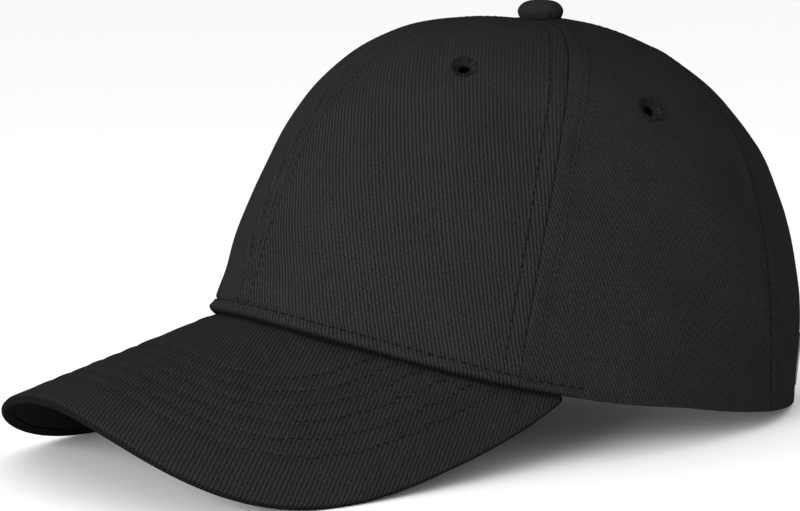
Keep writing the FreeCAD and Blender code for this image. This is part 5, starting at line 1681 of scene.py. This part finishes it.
CARRIED_OVER = {
    "button_shell": "button_tin", "button_rivet": "button_tin", "buckle_frame": "buckle_metal",
    "buckle_lever": "buckle_metal", "buckle_pin": "pin_steel",
}


def finish_cad_nodes():
    """Gives the CAD parts that stay on show their finish."""
    for name, slot in CARRIED_OVER.items():
        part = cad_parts[name]
        part.data.materials.clear()
        part.data.materials.append(MATERIALS[slot])
    soften_metal("buckle_frame", "buckle_lever", "button_rivet")


# ---------- stage, lights and camera ----------

CAMERA_EYE = (0.83635, -0.58292, 0.21544)   # metres, row frame
CAMERA_AZIMUTH, CAMERA_ELEVATION, CAMERA_ROLL = 55.491, 8.575, -1.564
CAMERA_LENS = 134.85
KEY_LIGHT = (24.0, 13.0, 1.3, 0.6, 20.0)   # azimuth, elevation, distance and width in metres, power
FLOOR_GREY, FLOOR_HALF_SIZE = 0.93, 6.0


def make_camera():
    """Camera at the place, turn and lens that match the outline of the whole cap."""
    azimuth, elevation = math.radians(CAMERA_AZIMUTH), math.radians(CAMERA_ELEVATION)
    roll = math.radians(CAMERA_ROLL)
    back = Vector((math.sin(azimuth) * math.cos(elevation), -math.cos(azimuth) * math.cos(elevation),
                   math.sin(elevation)))
    right = Vector((math.cos(azimuth), math.sin(azimuth), 0))
    up = back.cross(right)
    rolled_right = right * math.cos(roll) + up * math.sin(roll)
    rolled_up = up * math.cos(roll) - right * math.sin(roll)
    camera = bpy.data.cameras.new("camera")
    camera.lens = CAMERA_LENS
    camera.sensor_width = 36.0
    camera.clip_start, camera.clip_end = 0.01, 20.0
    thing = bpy.data.objects.new("camera", camera)
    axes = Matrix((rolled_right, rolled_up, back)).transposed().to_4x4()
    thing.matrix_world = Matrix.Translation(Vector(CAMERA_EYE)) @ axes
    bpy.context.scene.collection.objects.link(thing)
    bpy.context.scene.camera = thing


def add_light(name, azimuth, elevation, distance, width, power, aim):
    """Square soft light at a place round the object, looking at it."""
    turn, rise = math.radians(azimuth), math.radians(elevation)
    away = Vector((math.sin(turn) * math.cos(rise), -math.cos(turn) * math.cos(rise), math.sin(rise)))
    light = bpy.data.lights.new(name, "AREA")
    light.shape = "SQUARE"
    light.size = width
    light.energy = power
    thing = bpy.data.objects.new(name, light)
    thing.location = Vector(aim) + away * distance
    thing.rotation_mode = "QUATERNION"
    thing.rotation_quaternion = away.to_track_quat("Z", "Y")
    bpy.context.scene.collection.objects.link(thing)


def make_stage():
    """Pale floor and world, and one soft studio light."""
    shape = bmesh.new()
    bmesh.ops.create_grid(shape, x_segments=2, y_segments=2, size=FLOOR_HALF_SIZE)
    mesh = bpy.data.meshes.new("floor")
    shape.to_mesh(mesh)
    shape.free()
    floor = bpy.data.objects.new("floor", mesh)
    bpy.context.scene.collection.objects.link(floor)
    made = Nodes("floor")
    made.shader.inputs["Base Color"].default_value = (FLOOR_GREY, FLOOR_GREY, FLOOR_GREY, 1)
    made.shader.inputs["Roughness"].default_value = 0.9
    mesh.materials.append(made.material)
    world = bpy.data.worlds.new("world")
    bpy.context.scene.world = world
    world.use_nodes = True
    background = world.node_tree.nodes["Background"]
    background.inputs[0].default_value = (1, 1, 1, 1)
    background.inputs[1].default_value = 1.0
    add_light("key", *KEY_LIGHT, aim=(0, 0, 0.07))
    bpy.context.scene.view_settings.view_transform = "Standard"


# ---------- whole scene ----------

make_camera()
make_stage()
make_crown_stitching(make_panels())
make_eyelets()
make_buckram()
make_seam_tapes()
make_binding()
make_sweatband()
make_label()
make_visor()
make_button()
make_strap()
make_tab()
finish_cad_nodes()
